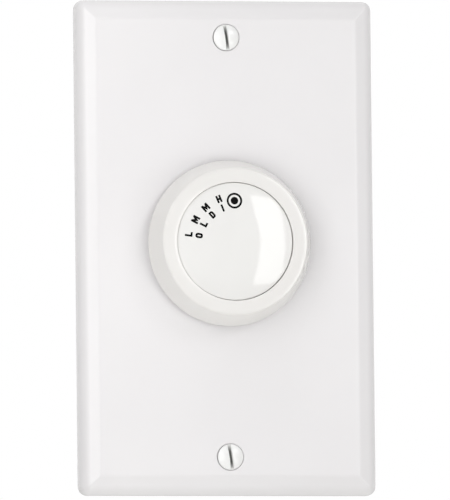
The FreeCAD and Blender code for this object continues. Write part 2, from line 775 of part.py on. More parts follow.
# Strap: wide behind the plate's middle, a neck with the slots, then ears scored to break off.
def make_mounting_strap():
    body = new_body("mounting_strap")
    sketch = new_sketch(body, "XZ_Plane", "strap_outline")
    wide = "strap_middle_width / 2"
    neck = "strap_neck_width / 2"
    ear = "ear_width / 2"
    end = STRAP_END
    ear_low = f"({STRAP_END} - ear_height)"
    quarter = [(wide, STRAP_TALL), (neck, STRAP_TALL), (neck, ear_low), (f"({ear} - ear_cut)", ear_low),
               (ear, f"({ear_low} + ear_cut)"), (ear, f"({end} - ear_cut)"), (f"({ear} - ear_cut)", end)]
    right_top = quarter
    left_top = [(f"-{across}", up) for across, up in reversed(quarter)]
    left_low = [(f"-{across}", f"-{up}") for across, up in quarter]
    right_low = [(across, f"-{up}") for across, up in reversed(quarter)]
    outline(sketch, right_top + left_top + left_low + right_low)
    pad(body, sketch, "strap_thick")
    holes = new_sketch(body, "XZ_Plane", "strap_holes", STRAP_FRONT)
    circle(holes, "0", "shaft_rise", "bushing_radius + screw_gap")
    for side in ("", "-"):
        circle(holes, "0", f"{side}{PLATE_SCREW}", "screw_radius + thread_gap")
        long_hole(holes, "0", f"{side}{BOX_SCREW}", "box_slot_length", "box_slot_width")
    for up in (KEY, f"-{KEY}"):
        square(holes, "0", up, "key_side + key_gap * 2")
    pocket(body, holes, "strap_thick")
    scores = new_sketch(body, "XZ_Plane", "strap_scores", STRAP_FRONT)
    for side in ("", "-"):
        left = f"{side}ear_score_reach - ear_score_width / 2"
        right = f"{side}ear_score_reach + ear_score_width / 2"
        rectangle(scores, left, f"{end} - ear_score_depth", right, f"{end} + ear_score_depth")
        rectangle(scores, left, f"-{end} - ear_score_depth", right, f"-{end} + ear_score_depth")
    pocket(body, scores, "strap_thick")
    tab = new_sketch(body, "YZ_Plane", "earth_tab", "-earth_tab_reach")
    root = f"-{STRAP_TALL} + earth_tab_drop"
    outline(tab, [
        (STRAP_FRONT, root),
        (STRAP_FRONT, f"{EARTH_TAB_UNDER} + earth_tab_bend"),
        (f"{STRAP_FRONT} + earth_tab_bend", EARTH_TAB_UNDER),
        ("earth_tab_depth", EARTH_TAB_UNDER),
        ("earth_tab_depth", f"{EARTH_TAB_UNDER} + strap_thick"),
        ("0", f"{EARTH_TAB_UNDER} + strap_thick"),
        ("0", root),
    ], {1: "earth_tab_bend"})
    pad(body, tab, "earth_tab_width", both_ways=True)
    tab_hole = new_sketch(body, "XY_Plane", "earth_hole", f"{EARTH_TAB_UNDER} + strap_thick")
    circle(tab_hole, "-earth_tab_reach", "earth_screw_place", "screw_radius + thread_gap")
    pocket(body, tab_hole, "strap_thick")
    return body


# A screw with a cylindrical slotted head, which sits in front of Y = 0 of its own frame.
def make_slotted_screw(name, head, height, shank, slot_wide, slot_deep):
    body = new_body(name)
    turn(body, name + "_profile", [("0", f"-({height})"), (head, f"-({height})"), (head, "0")] + shank)
    slot = new_sketch(body, "XZ_Plane", name + "_slot", f"-({height})")
    rectangle(slot, f"-({slot_wide}) / 2", f"-({head})", f"({slot_wide}) / 2", head)
    pocket(body, slot, slot_deep)
    return body


# Screws to the wall box: a plain neck in the strap's slot, then the thread.
def make_box_screws():
    thread_start = "strap_thick + retainer_thick"
    reach = "strap_thick + box_screw_reach"
    shank = [
        ("box_neck_radius", "0"),
        ("box_neck_radius", thread_start),
        ("screw_radius", thread_start),
        ("screw_radius", reach),
        ("0", reach),
    ]
    screws = []
    for side, name in (("", "upper_box_screw"), ("-", "lower_box_screw")):
        screw = make_slotted_screw(name, "box_head_radius", "box_head_height", shank,
                                   "box_slot_cut", "box_slot_cut_depth")
        place_body(screw, depth=STRAP_FRONT, up=f"{side}{BOX_SCREW}")
        screws.append(screw)
    return group("box_screws", screws)


# Fibre squares that grip the screws' necks behind the strap.
def make_screw_retainers():
    squares = []
    for side, name in (("", "upper_retainer"), ("-", "lower_retainer")):
        body = new_body(name)
        sketch = new_sketch(body, "XZ_Plane", name + "_outline", "retainer_thick")
        half = "retainer_side / 2"
        rectangle(sketch, f"-{half}", f"-{half}", half, half)
        circle(sketch, "0", "0", "box_neck_radius + retainer_gap")
        pad(body, sketch, "retainer_thick")
        place_body(body, up=f"{side}{BOX_SCREW}")
        squares.append(body)
    return group("screw_retainers", squares)


# Earth screw: a slotted hexagon, driven up into the strap's tab.
def make_ground_screw():
    body = new_body("ground_screw")
    hexed = new_sketch(body, "XY_Plane", "earth_hex", "-earth_hex_height")
    hexagon(hexed, "earth_hex_across")
    pad(body, hexed, "earth_hex_height")
    shank = new_sketch(body, "XY_Plane", "earth_shank", "-earth_hex_height / 2")
    circle(shank, "0", "0", "screw_radius")
    pad(body, shank, "earth_hex_height / 2 + earth_screw_reach")
    slot = new_sketch(body, "XY_Plane", "earth_slot", "-earth_hex_height")
    rectangle(slot, "-earth_hex_across", "-box_slot_cut / 2", "earth_hex_across", "box_slot_cut / 2")
    pocket(body, slot, "box_slot_cut_depth", turned=True)
    place_body(body, "-earth_tab_reach", "earth_screw_place", EARTH_TAB_UNDER)
    return body


# Case: a moulded box with rests for the board, windows for the hooks and a wiring bay in each side.
def make_rear_housing():
    body = new_body("rear_housing")
    shell = new_sketch(body, "XZ_Plane", "housing_outline", "housing_depth")
    rectangle(shell, "-housing_width / 2", f"-{HOUSING_TALL}", "housing_width / 2", HOUSING_TALL)
    pad(body, shell, "housing_depth")
    round_edges(body, "housing_corners", lambda item: runs_along(item, Y_AXIS), "housing_corner_round")
    tall = f"({HOUSING_TALL} - housing_wall)"
    cavity = new_sketch(body, "XZ_Plane", "housing_cavity")
    rectangle(cavity, f"-{CAVITY_WIDE}", f"-{tall}", CAVITY_WIDE, tall)
    pocket(body, cavity, CAVITY_BACK)
    rebate = new_sketch(body, "XZ_Plane", "housing_rebate")
    rectangle(rebate, f"-({CAVITY_WIDE} + rebate_step)", f"-({tall} + rebate_step)",
              f"{CAVITY_WIDE} + rebate_step", f"{tall} + rebate_step")
    pocket(body, rebate, "cover_thick")
    rests = new_sketch(body, "XZ_Plane", "housing_rests", CAVITY_BACK)
    rest_out = f"({CAVITY_WIDE} + rebate_step / 2)"
    for end in ("", "-"):
        low = f"{end}board_post_reach_z - board_rest_half"
        high = f"{end}board_post_reach_z + board_rest_half"
        rectangle(rests, BOARD_REST, low, rest_out, high)
        rectangle(rests, f"-{rest_out}", low, f"-{BOARD_REST}", high)
    pad(body, rests, f"{CAVITY_BACK} - {BOARD_BACK}")
    inner = f"({BAY_FLOOR} - bay_wall)"
    bay_tall = "(bay_half_height + bay_wall)"
    blocks = new_sketch(body, "XZ_Plane", "housing_bay_walls", CAVITY_BACK)
    rectangle(blocks, inner, f"-{bay_tall}", rest_out, bay_tall)
    rectangle(blocks, f"-{rest_out}", f"-{bay_tall}", f"-{inner}", bay_tall)
    pad(body, blocks, f"{CAVITY_BACK} - {BAY_FRONT} + bay_wall")
    bays = new_sketch(body, "XZ_Plane", "housing_bays", "housing_depth")
    outside = "(housing_width / 2 + housing_wall)"
    rectangle(bays, BAY_FLOOR, "-bay_half_height", outside, "bay_half_height")
    rectangle(bays, f"-{outside}", "-bay_half_height", f"-{BAY_FLOOR}", "bay_half_height")
    pocket(body, bays, "bay_length", turned=True)
    tails = new_sketch(body, "XZ_Plane", "housing_tail_slots", BAY_FRONT)
    tail_in = f"({BAY_FLOOR} - tail_gap)"
    tail_out = f"({TERMINAL_FACE} + tail_gap)"
    tail_tall = "(tail_half_width + tail_gap)"
    rectangle(tails, tail_in, f"-{tail_tall}", tail_out, tail_tall)
    rectangle(tails, f"-{tail_out}", f"-{tail_tall}", f"-{tail_in}", tail_tall)
    pocket(body, tails, "bay_wall", turned=True)
    windows = new_sketch(body, "XY_Plane", "housing_windows")
    half = "(hook_width / 2 + hook_gap)"
    for side in ("", "-"):
        rectangle(windows, f"{side}hook_reach - {half}", "hook_catch - hook_gap",
                  f"{side}hook_reach + {half}", "hook_end + hook_gap")
    pocket(body, windows, f"{HOUSING_TALL} * 2 + housing_wall", both_ways=True)
    binding = new_sketch(body, "YZ_Plane", "housing_binding_holes")
    square(binding, TERMINAL_MIDDLE, "0", "(screw_radius + binding_hole_gap) * 2")
    pocket(body, binding, "housing_width", both_ways=True)
    return body


# At rest the lug and the rotor point half the knob's travel to the right of straight down.
SWING = "(speed_step * speed_count / 2 * 1 deg)"


# A point at a distance along that line and aside from it; side puts it in the mirrored place.
def swung(aside, along, side=""):
    across = f"{side}(({along}) * sin({SWING}) + ({aside}) * cos({SWING}))"
    up = f"-({along}) * cos({SWING}) + ({aside}) * sin({SWING})"
    return across, up


def swung_bar(sketch, inner, outer, near, far, side=""):
    outline(sketch, [swung(inner, far, side), swung(outer, far, side),
                     swung(outer, near, side), swung(inner, near, side)])


# Cover: hooked into the case and keyed to the strap, with the board's posts, spring pins and end stops.
def make_front_cover():
    body = new_body("front_cover")
    plate = new_sketch(body, "XZ_Plane", "cover_outline", "cover_thick")
    wide = f"({CAVITY_WIDE} + rebate_step - cover_gap)"
    tall = f"({HOUSING_TALL} - housing_wall + rebate_step - cover_gap)"
    rectangle(plate, f"-{wide}", f"-{tall}", wide, tall)
    circle(plate, "0", "shaft_rise", "bushing_radius + screw_gap")
    pad(body, plate, "cover_thick")
    keys = new_sketch(body, "XZ_Plane", "cover_keys", "cover_thick / 2")
    for up in (KEY, f"-{KEY}"):
        square(keys, "0", up, "key_side")
    pad(body, keys, "cover_thick / 2 + strap_thick")
    hook_out = f"({HOUSING_TALL} - housing_wall - hook_gap)"
    profile = [
        ("cover_thick / 2", f"({hook_out} - hook_thick)"),
        ("hook_end", f"({hook_out} - hook_thick)"),
        ("hook_end", hook_out),
        ("hook_catch", f"({hook_out} + hook_nose)"),
        ("hook_catch", hook_out),
        ("cover_thick / 2", hook_out),
    ]
    hooks = (("hook_a", "", ""), ("hook_b", "-", ""), ("hook_c", "", "-"), ("hook_d", "-", "-"))
    for name, side, end in hooks:
        hook = new_sketch(body, "YZ_Plane", name, f"{side}hook_reach")
        outline(hook, [(depth, f"{end}{up}") for depth, up in profile])
        pad(body, hook, "hook_width", both_ways=True)
    posts = new_sketch(body, "XZ_Plane", "cover_posts", "board_front")
    for across, up in four_places(BOARD_POST, "board_post_reach_z"):
        square(posts, across, up, "board_post_side")
    pad(body, posts, "board_front - cover_thick / 2")
    pins = new_sketch(body, "XZ_Plane", "cover_pins", WHEEL_BACK)
    for side in ("", "-"):
        below = f"shaft_rise + {LEAF_UNDER} - leaf_pin_side / 2 - leaf_pin_gap"
        above = f"shaft_rise + {LEAF_UNDER} + leaf_thick + leaf_pin_side / 2 + leaf_pin_gap"
        square(pins, f"{side}leaf_pin_inner", below, "leaf_pin_side")
        square(pins, f"{side}leaf_pin_outer", above, "leaf_pin_side")
    pad(body, pins, f"{WHEEL_BACK} - cover_thick / 2")
    stops = new_sketch(body, "XZ_Plane", "cover_stops", WHEEL_BACK)
    bind(stops, "AttachmentOffset.Base.y", "shaft_rise")
    for side in ("", "-"):
        swung_bar(stops, "(lug_half_width + stop_gap)", "(lug_half_width + stop_gap + stop_side)",
                  "stop_near", "stop_far", side)
    pad(body, stops, f"{WHEEL_BACK} - cover_thick / 2")
    return body


# Wheel: one notch for each setting, from the top round to the left, and a lug between the end stops.
def make_detent_wheel():
    body = new_body("detent_wheel")
    disc = new_sketch(body, "XZ_Plane", "wheel_outline", WHEEL_BACK)
    circle(disc, "0", "0", "wheel_radius")
    flatted_hole(disc, "shaft_radius + running_gap", "shaft_flat + running_gap")
    pad(body, disc, "wheel_thick")
    lug = new_sketch(body, "XZ_Plane", "wheel_lug", WHEEL_BACK)
    swung_bar(lug, "-lug_half_width", "lug_half_width", "wheel_radius / 2", "lug_reach")
    pad(body, lug, "wheel_thick")
    notch = new_sketch(body, "XZ_Plane", "wheel_notch", WHEEL_FRONT)
    circle(notch, "0", "notch_circle", "notch_radius")
    notches = pocket(body, notch, "wheel_thick")
    repeat_round(body, [notches], "speed_count + 1", "speed_step * speed_count", reverse=True)
    place_body(body, up="shaft_rise")
    return body


# Leaf spring over the wheel, held between the cover's pins, with a round bump in the wheel's notch.
def make_detent_spring():
    body = new_body("detent_spring")
    sketch = new_sketch(body, "XZ_Plane", "leaf_profile", f"{WHEEL_FRONT} + wheel_thick / 2 + leaf_width / 2")
    under = LEAF_UNDER
    top = f"({LEAF_UNDER} + leaf_thick)"
    low = f"({LEAF_UNDER} - leaf_bump_drop)"
    inside = "(leaf_bump_half - leaf_thick)"
    inside_low = f"({low} + leaf_thick)"
    outline(sketch, [
        ("-leaf_half_length", under),
        ("-leaf_bump_half", under),
        ("0", low),
        ("leaf_bump_half", under),
        ("leaf_half_length", under),
        ("leaf_half_length", top),
        (f"{inside}", top),
        ("0", inside_low),
        (f"-{inside}", top),
        ("-leaf_half_length", top),
    ], {1: "leaf_bump_drop", 2: "leaf_bump_drop"})
    pad(body, sketch, "leaf_width")
    place_body(body, up="shaft_rise")
    return body


# Rotor: a moulded arm on the shaft's flat that carries the bridging blade.
def make_contact_rotor():
    body = new_body("contact_rotor")
    arm = new_sketch(body, "XZ_Plane", "rotor_outline", ROTOR_BACK)
    swung_bar(arm, "-rotor_half_width", "rotor_half_width", "-rotor_tail", "rotor_reach")
    flatted_hole(arm, "shaft_radius + running_gap", "shaft_flat + running_gap")
    pad(body, arm, "rotor_thick")
    place_body(body, up="shaft_rise")
    return body


# Bridging blade on the rotor's back, with one tip for the common contact and one for the speed contacts.
def make_rotor_contact():
    body = new_body("rotor_contact")
    blade = new_sketch(body, "XZ_Plane", "blade_outline", BLADE_BACK)
    swung_bar(blade, "-blade_half_width", "blade_half_width", "blade_start", "blade_end")
    pad(body, blade, "blade_thick")
    tips = new_sketch(body, "XZ_Plane", "blade_tips", f"{CONTACT_FACE} - contact_gap")
    for ring in ("common_circle", "contact_circle"):
        swung_bar(tips, "-tip_side / 2", "tip_side / 2", f"{ring} - tip_side / 2", f"{ring} + tip_side / 2")
    pad(body, tips, f"{CONTACT_FACE} - contact_gap - {BLADE_BACK} + blade_thick / 2")
    place_body(body, up="shaft_rise")
    return body


# Fixed contacts on the board: one for each speed, and the common one. The off place has none.
def make_fixed_contacts():
    pieces = []
    for speed in range(1, round(number("speed_count")) + 1):
        stud = doc.addObject("Part::Box", f"speed_contact_{speed}")
        bind(stud, "Length", "contact_side")
        bind(stud, "Width", "contact_thick")
        bind(stud, "Height", "contact_side")
        angle = f"(speed_step * (speed_count / 2 - {speed}) * 1 deg)"
        place_body(stud, f"contact_circle * sin({angle}) - contact_side / 2", CONTACT_FACE,
                   f"shaft_rise - contact_circle * cos({angle}) - contact_side / 2")
        pieces.append(stud)
    common = new_body("common_contact")
    sketch = new_sketch(common, "XZ_Plane", "common_outline", "board_front")
    rectangle(sketch, "-common_half_length", "common_low", "common_half_length", "common_high")
    pad(common, sketch, "contact_thick")
    place_body(common, up="shaft_rise")
    pieces.append(common)
    return group("fixed_contacts", pieces)


def capacitor_leads(low, high):
    middle = f"(({low}) + ({high})) / 2"
    return [("lead_spacing / 2", middle), ("-lead_spacing / 2", middle)]


def resistor_leads(up):
    return [("resistor_lead_half", up), ("-resistor_lead_half", up)]


def make_contact_board():
    body = new_body("contact_board")
    sketch = new_sketch(body, "XZ_Plane", "board_outline", BOARD_BACK)
    rectangle(sketch, f"-{BOARD_EDGE}", "-board_height / 2", BOARD_EDGE, "board_height / 2")
    circle(sketch, "0", "shaft_rise", "pivot_radius + running_gap")
    leads = capacitor_leads("large_low", LARGE_TOP) + capacitor_leads(SMALL_FOOT, "small_high")
    leads += resistor_leads("resistor_upper") + resistor_leads(RESISTOR_FOOT)
    for across, up in leads:
        square(sketch, across, up, "lead_side + lead_hole_gap * 2")
    inner = f"({BAY_FLOOR} - lead_hole_gap)"
    outer = f"({TERMINAL_FACE} + lead_hole_gap)"
    tall = "(tail_half_width + lead_hole_gap)"
    rectangle(sketch, inner, f"-{tall}", outer, tall)
    rectangle(sketch, f"-{outer}", f"-{tall}", f"-{inner}", tall)
    pad(body, sketch, "board_thick")
    return body


# Film capacitor: a rounded box flat on the board, with two leads through it.
def make_capacitor(name, low, high):
    body = new_body(name)
    back = f"({BOARD_BACK} + capacitor_depth)"
    case = new_sketch(body, "XZ_Plane", name + "_outline", back)
    rectangle(case, "-capacitor_width / 2", low, "capacitor_width / 2", high)
    pad(body, case, "capacitor_depth")
    round_edges(body, name + "_edges", lambda item: runs_along(item, Y_AXIS), "capacitor_corner_round")
    leads = new_sketch(body, "XZ_Plane", name + "_leads", f"{BOARD_BACK} + capacitor_depth / 2")
    for across, up in capacitor_leads(low, high):
        square(leads, across, up, "lead_side")
    pad(body, leads, "capacitor_depth / 2 + board_thick + lead_stub")
    return body


# Resistor: a round body on its lead, whose ends bend down through the board.
def make_bleed_resistors():
    pieces = []
    for name, up in (("upper_resistor", "resistor_upper"), ("lower_resistor", RESISTOR_FOOT)):
        body = new_body(name)
        round_body = new_sketch(body, "YZ_Plane", name + "_round")
        circle(round_body, "0", "0", "resistor_radius")
        pad(body, round_body, "resistor_half_length * 2", both_ways=True)
        wire = new_sketch(body, "YZ_Plane", name + "_wire")
        square(wire, "0", "0", "lead_side")
        pad(body, wire, "resistor_lead_half * 2 + lead_side", both_ways=True)
        legs = new_sketch(body, "XZ_Plane", name + "_legs", "lead_side / 2")
        square(legs, "resistor_lead_half", "0", "lead_side")
        square(legs, "-resistor_lead_half", "0", "lead_side")
        pad(body, legs, "lead_side / 2 + resistor_lift + board_thick + lead_stub")
        place_body(body, depth=f"{BOARD_BACK} + resistor_lift", up=up)
        pieces.append(body)
    return group("bleed_resistors", pieces)


# Terminal: a brass plate on the bay's floor, with a tail that runs through the case to the board.
def make_terminal(name, side):
    body = new_body(name)
    face = f"{side}{BAY_FLOOR}"
    sketch = new_sketch(body, "YZ_Plane", name + "_outline", face)
    tail_end = "(board_front - lead_stub)"
    back = f"({TERMINAL_FRONT} + terminal_length)"
    outline(sketch, [
        (tail_end, "-tail_half_width"),
        (TERMINAL_FRONT, "-tail_half_width"),
        (TERMINAL_FRONT, "-terminal_half_height"),
        (back, "-terminal_half_height"),
        (back, "terminal_half_height"),
        (TERMINAL_FRONT, "terminal_half_height"),
        (TERMINAL_FRONT, "tail_half_width"),
        (tail_end, "tail_half_width"),
    ])
    circle(sketch, TERMINAL_MIDDLE, "0", "screw_radius + thread_gap")
    plate = pad(body, sketch, "terminal_thick")
    plate.Reversed = side == "-"
    return body


# Binding screws lie across the case, heads outward.
def make_terminal_screws():
    reach = "terminal_thick + binding_reach"
    shank = [("screw_radius", "0"), ("screw_radius", reach), ("0", reach)]
    screws = []
    for side, name, turn_angle in (("", "right_binding_screw", 90), ("-", "left_binding_screw", -90)):
        screw = make_slotted_screw(name, "binding_head_radius", "binding_head_height", shank,
                                   "binding_slot_cut", "binding_slot_cut_depth")
        screw.Placement.Rotation = FreeCAD.Rotation(Z_AXIS, turn_angle)
        place_body(screw, f"{side}{TERMINAL_FACE}", TERMINAL_MIDDLE, "0")
        screws.append(screw)
    return group("terminal_screws", screws)


sub_parts = [
    make_wall_plate(),
    make_plate_screws(),
    make_knob_body(),
    make_knob_cap(),
    make_knob_grip_spring(),
    make_shaft(),
    make_retaining_ring(),
    make_bushing(),
    make_bushing_nut(),
    make_lock_washer(),
    make_mounting_strap(),
    make_box_screws(),
    make_screw_retainers(),
    make_ground_screw(),
    make_rear_housing(),
    make_front_cover(),
    make_detent_wheel(),
    make_detent_spring(),
    make_contact_rotor(),
    make_rotor_contact(),
    make_fixed_contacts(),
    make_contact_board(),
    make_capacitor("capacitor_large", "large_low", LARGE_TOP),
    make_capacitor("capacitor_small", SMALL_FOOT, "small_high"),
    make_bleed_resistors(),
    make_terminal("line_terminal", "-"),
    make_terminal("load_terminal", ""),
    make_terminal_screws(),
]
doc.removeObject(calculator.Name)
doc.recompute()

for item in doc.Objects:
    if "Invalid" in item.State or "Error" in item.State:
        raise RuntimeError(f"{item.Name} failed: {item.State}")
for sub_part in sub_parts:
    if sub_part.Shape.isNull() or not sub_part.Shape.isValid():
        raise RuntimeError(f"{sub_part.Label} has no valid shape")

os.makedirs("parts", exist_ok=True)
for sub_part in sub_parts:
    sub_part.Shape.exportStep(f"parts/{sub_part.Label}.step")
    box = sub_part.Shape.BoundBox
    across = f"X {box.XMin:.2f} {box.XMax:.2f}"
    depth = f"Y {box.YMin:.2f} {box.YMax:.2f}"
    up = f"Z {box.ZMin:.2f} {box.ZMax:.2f}"
    print(f"{sub_part.Label}: {len(sub_part.Shape.Solids)} solids, {across}, {depth}, {up}")
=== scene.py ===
import math
import bmesh
import bpy
from mathutils import Matrix, Quaternion, Vector


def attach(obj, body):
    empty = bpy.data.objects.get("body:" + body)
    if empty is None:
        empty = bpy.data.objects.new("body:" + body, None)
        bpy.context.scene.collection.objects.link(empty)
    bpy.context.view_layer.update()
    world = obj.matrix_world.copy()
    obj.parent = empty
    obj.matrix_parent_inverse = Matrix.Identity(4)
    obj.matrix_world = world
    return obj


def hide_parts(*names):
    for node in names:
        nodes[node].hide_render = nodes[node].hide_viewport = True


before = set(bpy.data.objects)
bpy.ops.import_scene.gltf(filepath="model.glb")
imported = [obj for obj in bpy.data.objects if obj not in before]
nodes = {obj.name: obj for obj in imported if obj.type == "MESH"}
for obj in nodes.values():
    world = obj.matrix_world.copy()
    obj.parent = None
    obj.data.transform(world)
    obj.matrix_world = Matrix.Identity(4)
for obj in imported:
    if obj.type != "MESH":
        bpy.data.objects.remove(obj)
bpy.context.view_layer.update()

scene = bpy.context.scene
scene.view_settings.view_transform = "Standard"
mm = 0.001  # sizes below are in millimetres, apart from those of the studio
knobRise = 0.8  # the knob's axis above the plate's middle
plateScrewReach = 48.42
boxScrewReach = 41.67
toneStart, toneEnd = 0.3, 0.7  # where in a noise a finish has its darker and its lighter tone
lineShare = 0.45  # how far a metal's tone follows its lines
noiseDetail = {"flow": 2.0, "skin": 3.0, "lines": 4.0, "drift": 3.0}
edgeBreak = {"steps": 2, "fromDegrees": 35}


# a colour code as linear light
def hexColour(code):
    parts = [int(code[i:i + 2], 16) / 255 for i in (1, 3, 5)]
    return tuple(c / 12.92 if c <= 0.04045 else ((c + 0.055) / 1.055) ** 2.4 for c in parts) + (1.0,)


# sockets go by name, or by number where a node repeats its names: in a mix 0 is the share, 2 and 3 are the
# two numbers, and 6 and 7 the two colours
def addNode(tree, kind, options=None, values=None, links=None):
    node = tree.nodes.new(kind)
    for name, option in (options or {}).items():
        setattr(node, name, option)
    for name, value in (values or {}).items():
        node.inputs[name].default_value = value
    for name, source in (links or {}).items():
        tree.links.new(source, node.inputs[name])
    return node


def startMaterial(name):
    material = bpy.data.materials.new(name)
    material.use_nodes = True
    tree = material.node_tree
    tree.nodes.clear()
    shader = addNode(tree, "ShaderNodeBsdfPrincipled")
    addNode(tree, "ShaderNodeOutputMaterial", links={"Surface": shader.outputs["BSDF"]})
    place = addNode(tree, "ShaderNodeTexCoord").outputs["Object"]
    return material, tree, shader, place


def addNoise(tree, sizeMm, detail, place):
    return addNode(tree, "ShaderNodeTexNoise", values={"Scale": 1 / (sizeMm * mm), "Detail": detail},
                   links={"Vector": place})


# the finish's colour, from its shade to its light along a noise
def addTint(tree, look, source):
    tint = addNode(tree, "ShaderNodeValToRGB", links={"Fac": source})
    for stop, place, tone in zip(tint.color_ramp.elements, (toneStart, toneEnd), ("shade", "light")):
        stop.position = place
        stop.color = hexColour(look[tone])
    return tint.outputs["Color"]


# roughness and small relief that follow the same noise
def addRelief(tree, shader, look, source, strength, depthMm):
    rough = addNode(tree, "ShaderNodeMapRange", values={
        "To Min": look["rough"] - look["roughSpread"], "To Max": look["rough"] + look["roughSpread"]},
        links={"Value": source})
    tree.links.new(rough.outputs["Result"], shader.inputs["Roughness"])
    relief = addNode(tree, "ShaderNodeBump", values={"Strength": strength, "Distance": depthMm * mm},
                     links={"Height": source})
    tree.links.new(relief.outputs["Normal"], shader.inputs["Normal"])


# moulded plastic: a slow drift of colour from the melt's flow, and the faint orange peel of the mould's skin
def mouldedPlastic(name, look):
    material, tree, shader, place = startMaterial(name)
    for socket, value in look.get("sockets", {}).items():
        shader.inputs[socket].default_value = value
    flow = addNoise(tree, look["flowMm"], noiseDetail["flow"], place)
    colour = addTint(tree, look, flow.outputs["Fac"])
    if "paintedShadeGrey" in look:
        # painted shade: the colour darkens to a grey with depth along Y, deep in recesses
        depth = addNode(tree, "ShaderNodeSeparateXYZ", links={"Vector": place})
        paintedShadeShare = addNode(tree, "ShaderNodeMapRange", values={
            "From Min": look["paintedShadeFrom"] * mm, "From Max": look["paintedShadeTo"] * mm},
            links={"Value": depth.outputs["Y"]})
        colour = addNode(tree, "ShaderNodeMix", {"data_type": "RGBA"}, {7: hexColour(look["paintedShadeGrey"])},
                         {0: paintedShadeShare.outputs["Result"], 6: colour}).outputs[2]
    tree.links.new(colour, shader.inputs["Base Color"])
    skin = addNoise(tree, look["skinMm"], noiseDetail["skin"], place)
    addRelief(tree, shader, look, skin.outputs["Fac"], look["peel"], look["peelMm"])
    return material


# sheet or turned metal: lines along the way it was rolled or turned, and a slow drift in its tone; real lines
# are too fine to show, so these are drawn coarser
def workedMetal(name, look):
    material, tree, shader, place = startMaterial(name)
    shader.inputs["Metallic"].default_value = 1.0
    stretch = addNode(tree, "ShaderNodeMapping", values={"Scale": look["stretch"]}, links={"Vector": place})
    lines = addNoise(tree, look["lineMm"], noiseDetail["lines"], stretch.outputs["Vector"])
    drift = addNoise(tree, look["driftMm"], noiseDetail["drift"], place)
    blend = addNode(tree, "ShaderNodeMix", {"data_type": "FLOAT"}, {0: lineShare},
                    {2: drift.outputs["Fac"], 3: lines.outputs["Fac"]})
    tree.links.new(addTint(tree, look, blend.outputs[0]), shader.inputs["Base Color"])
    addRelief(tree, shader, look, lines.outputs["Fac"], look["score"], look["scoreMm"])
    return material


# urea plate, moulded and polished: cool white, a soft sheen with no sharp reflections
plateUrea = mouldedPlastic("mouldedUreaPlate", {
    "light": "#F1EFF0", "shade": "#EEECED", "flowMm": 35, "skinMm": 1.6, "rough": 0.24, "roughSpread": 0.012,
    "peel": 0.03, "peelMm": 0.01, "sockets": {"IOR": 1.5}})
# ABS knob, moulded: a slightly warmer white than the plate, and smoother
knobAbs = mouldedPlastic("mouldedAbsKnob", {
    "light": "#F2F0EE", "shade": "#EFEDEA", "flowMm": 22, "skinMm": 1.2, "rough": 0.13, "roughSpread": 0.012,
    "peel": 0.04, "peelMm": 0.01, "sockets": {"IOR": 1.5}})
# ABS cap, polished in its mould: a clear glossy reflection of the lamps
capAbs = mouldedPlastic("polishedAbsCap", {
    "light": "#F3F2F0", "shade": "#F0EFED", "flowMm": 18, "skinMm": 2.4, "rough": 0.05, "roughSpread": 0.01,
    "peel": 0.02, "peelMm": 0.02, "sockets": {"IOR": 1.5}})
# pad-printed ink: dense black with a dull face, a little thin in places
markInk = mouldedPlastic("padPrintedInk", {
    "light": "#121111", "shade": "#080808", "flowMm": 0.6, "skinMm": 0.12, "rough": 0.6, "roughSpread": 0.08,
    "peel": 0.1, "peelMm": 0.01, "sockets": {"IOR": 1.5, "Specular IOR Level": 0.05}})
# enamel sprayed and baked on steel screws: brighter than the plastics, with a wet gloss, and a painted shade
# that darkens it to grey deep in the slot and behind the head
screwEnamel = mouldedPlastic("bakedEnamelScrew", {
    "light": "#FBFBFA", "shade": "#F5F5F4", "flowMm": 3, "skinMm": 0.6, "rough": 0.2, "roughSpread": 0.04,
    # the grey of the painted shade, and the depths in mm over which it darkens the slot and the underside of
    # the head
    "peel": 0.12, "peelMm": 0.02, "paintedShadeGrey": "#6E6E6C", "paintedShadeFrom": -5.35, "paintedShadeTo": -4.6,
    "sockets": {"IOR": 1.52, "Coat Weight": 0.4, "Coat Roughness": 0.08}})
# phenolic case, moulded matt: near black with a grey bloom and a spark-eroded grain, drawn coarser than the
# real one so that it shows
casePhenolic = mouldedPlastic("mouldedPhenolicCase", {
    "light": "#252527", "shade": "#18181A", "flowMm": 14, "skinMm": 0.45, "rough": 0.55, "roughSpread": 0.08,
    "peel": 0.35, "peelMm": 0.04, "sockets": {"IOR": 1.55}})
# phenolic cover: the same grain in dark grey
coverPhenolic = mouldedPlastic("mouldedPhenolicCover", {
    "light": "#333335", "shade": "#262628", "flowMm": 12, "skinMm": 0.45, "rough": 0.5, "roughSpread": 0.08,
    "peel": 0.3, "peelMm": 0.04, "sockets": {"IOR": 1.55}})
# natural nylon, moulded: waxy cream that lets a little light in
rotorNylon = mouldedPlastic("mouldedNaturalNylon", {
    "light": "#EFEADB", "shade": "#E2DAC6", "flowMm": 6, "skinMm": 0.8, "rough": 0.42, "roughSpread": 0.05,
    "peel": 0.15, "peelMm": 0.03,
    "sockets": {"IOR": 1.53, "Subsurface Weight": 0.15, "Subsurface Scale": 1 * mm}})
# paper laminate, pressed and punched: brown with darker fibres
boardLaminate = mouldedPlastic("pressedPaperLaminate", {
    "light": "#A9793F", "shade": "#8A5E2C", "flowMm": 2.2, "skinMm": 0.3, "rough": 0.38, "roughSpread": 0.07,
    "peel": 0.25, "peelMm": 0.03, "sockets": {"IOR": 1.55}})
# film capacitor's box, moulded: glossy yellow
capacitorBox = mouldedPlastic("mouldedCapacitorBox", {
    "light": "#D9B33A", "shade": "#C79F2A", "flowMm": 8, "skinMm": 0.7, "rough": 0.3, "roughSpread": 0.05,
    "peel": 0.12, "peelMm": 0.03, "sockets": {"IOR": 1.5}})
# resistor's lacquer, dipped: tan with an uneven satin skin
resistorLacquer = mouldedPlastic("dippedResistorLacquer", {
    "light": "#D0B583", "shade": "#B99B66", "flowMm": 1.6, "skinMm": 0.5, "rough": 0.4, "roughSpread": 0.08,
    "peel": 0.3, "peelMm": 0.04, "sockets": {"IOR": 1.5}})
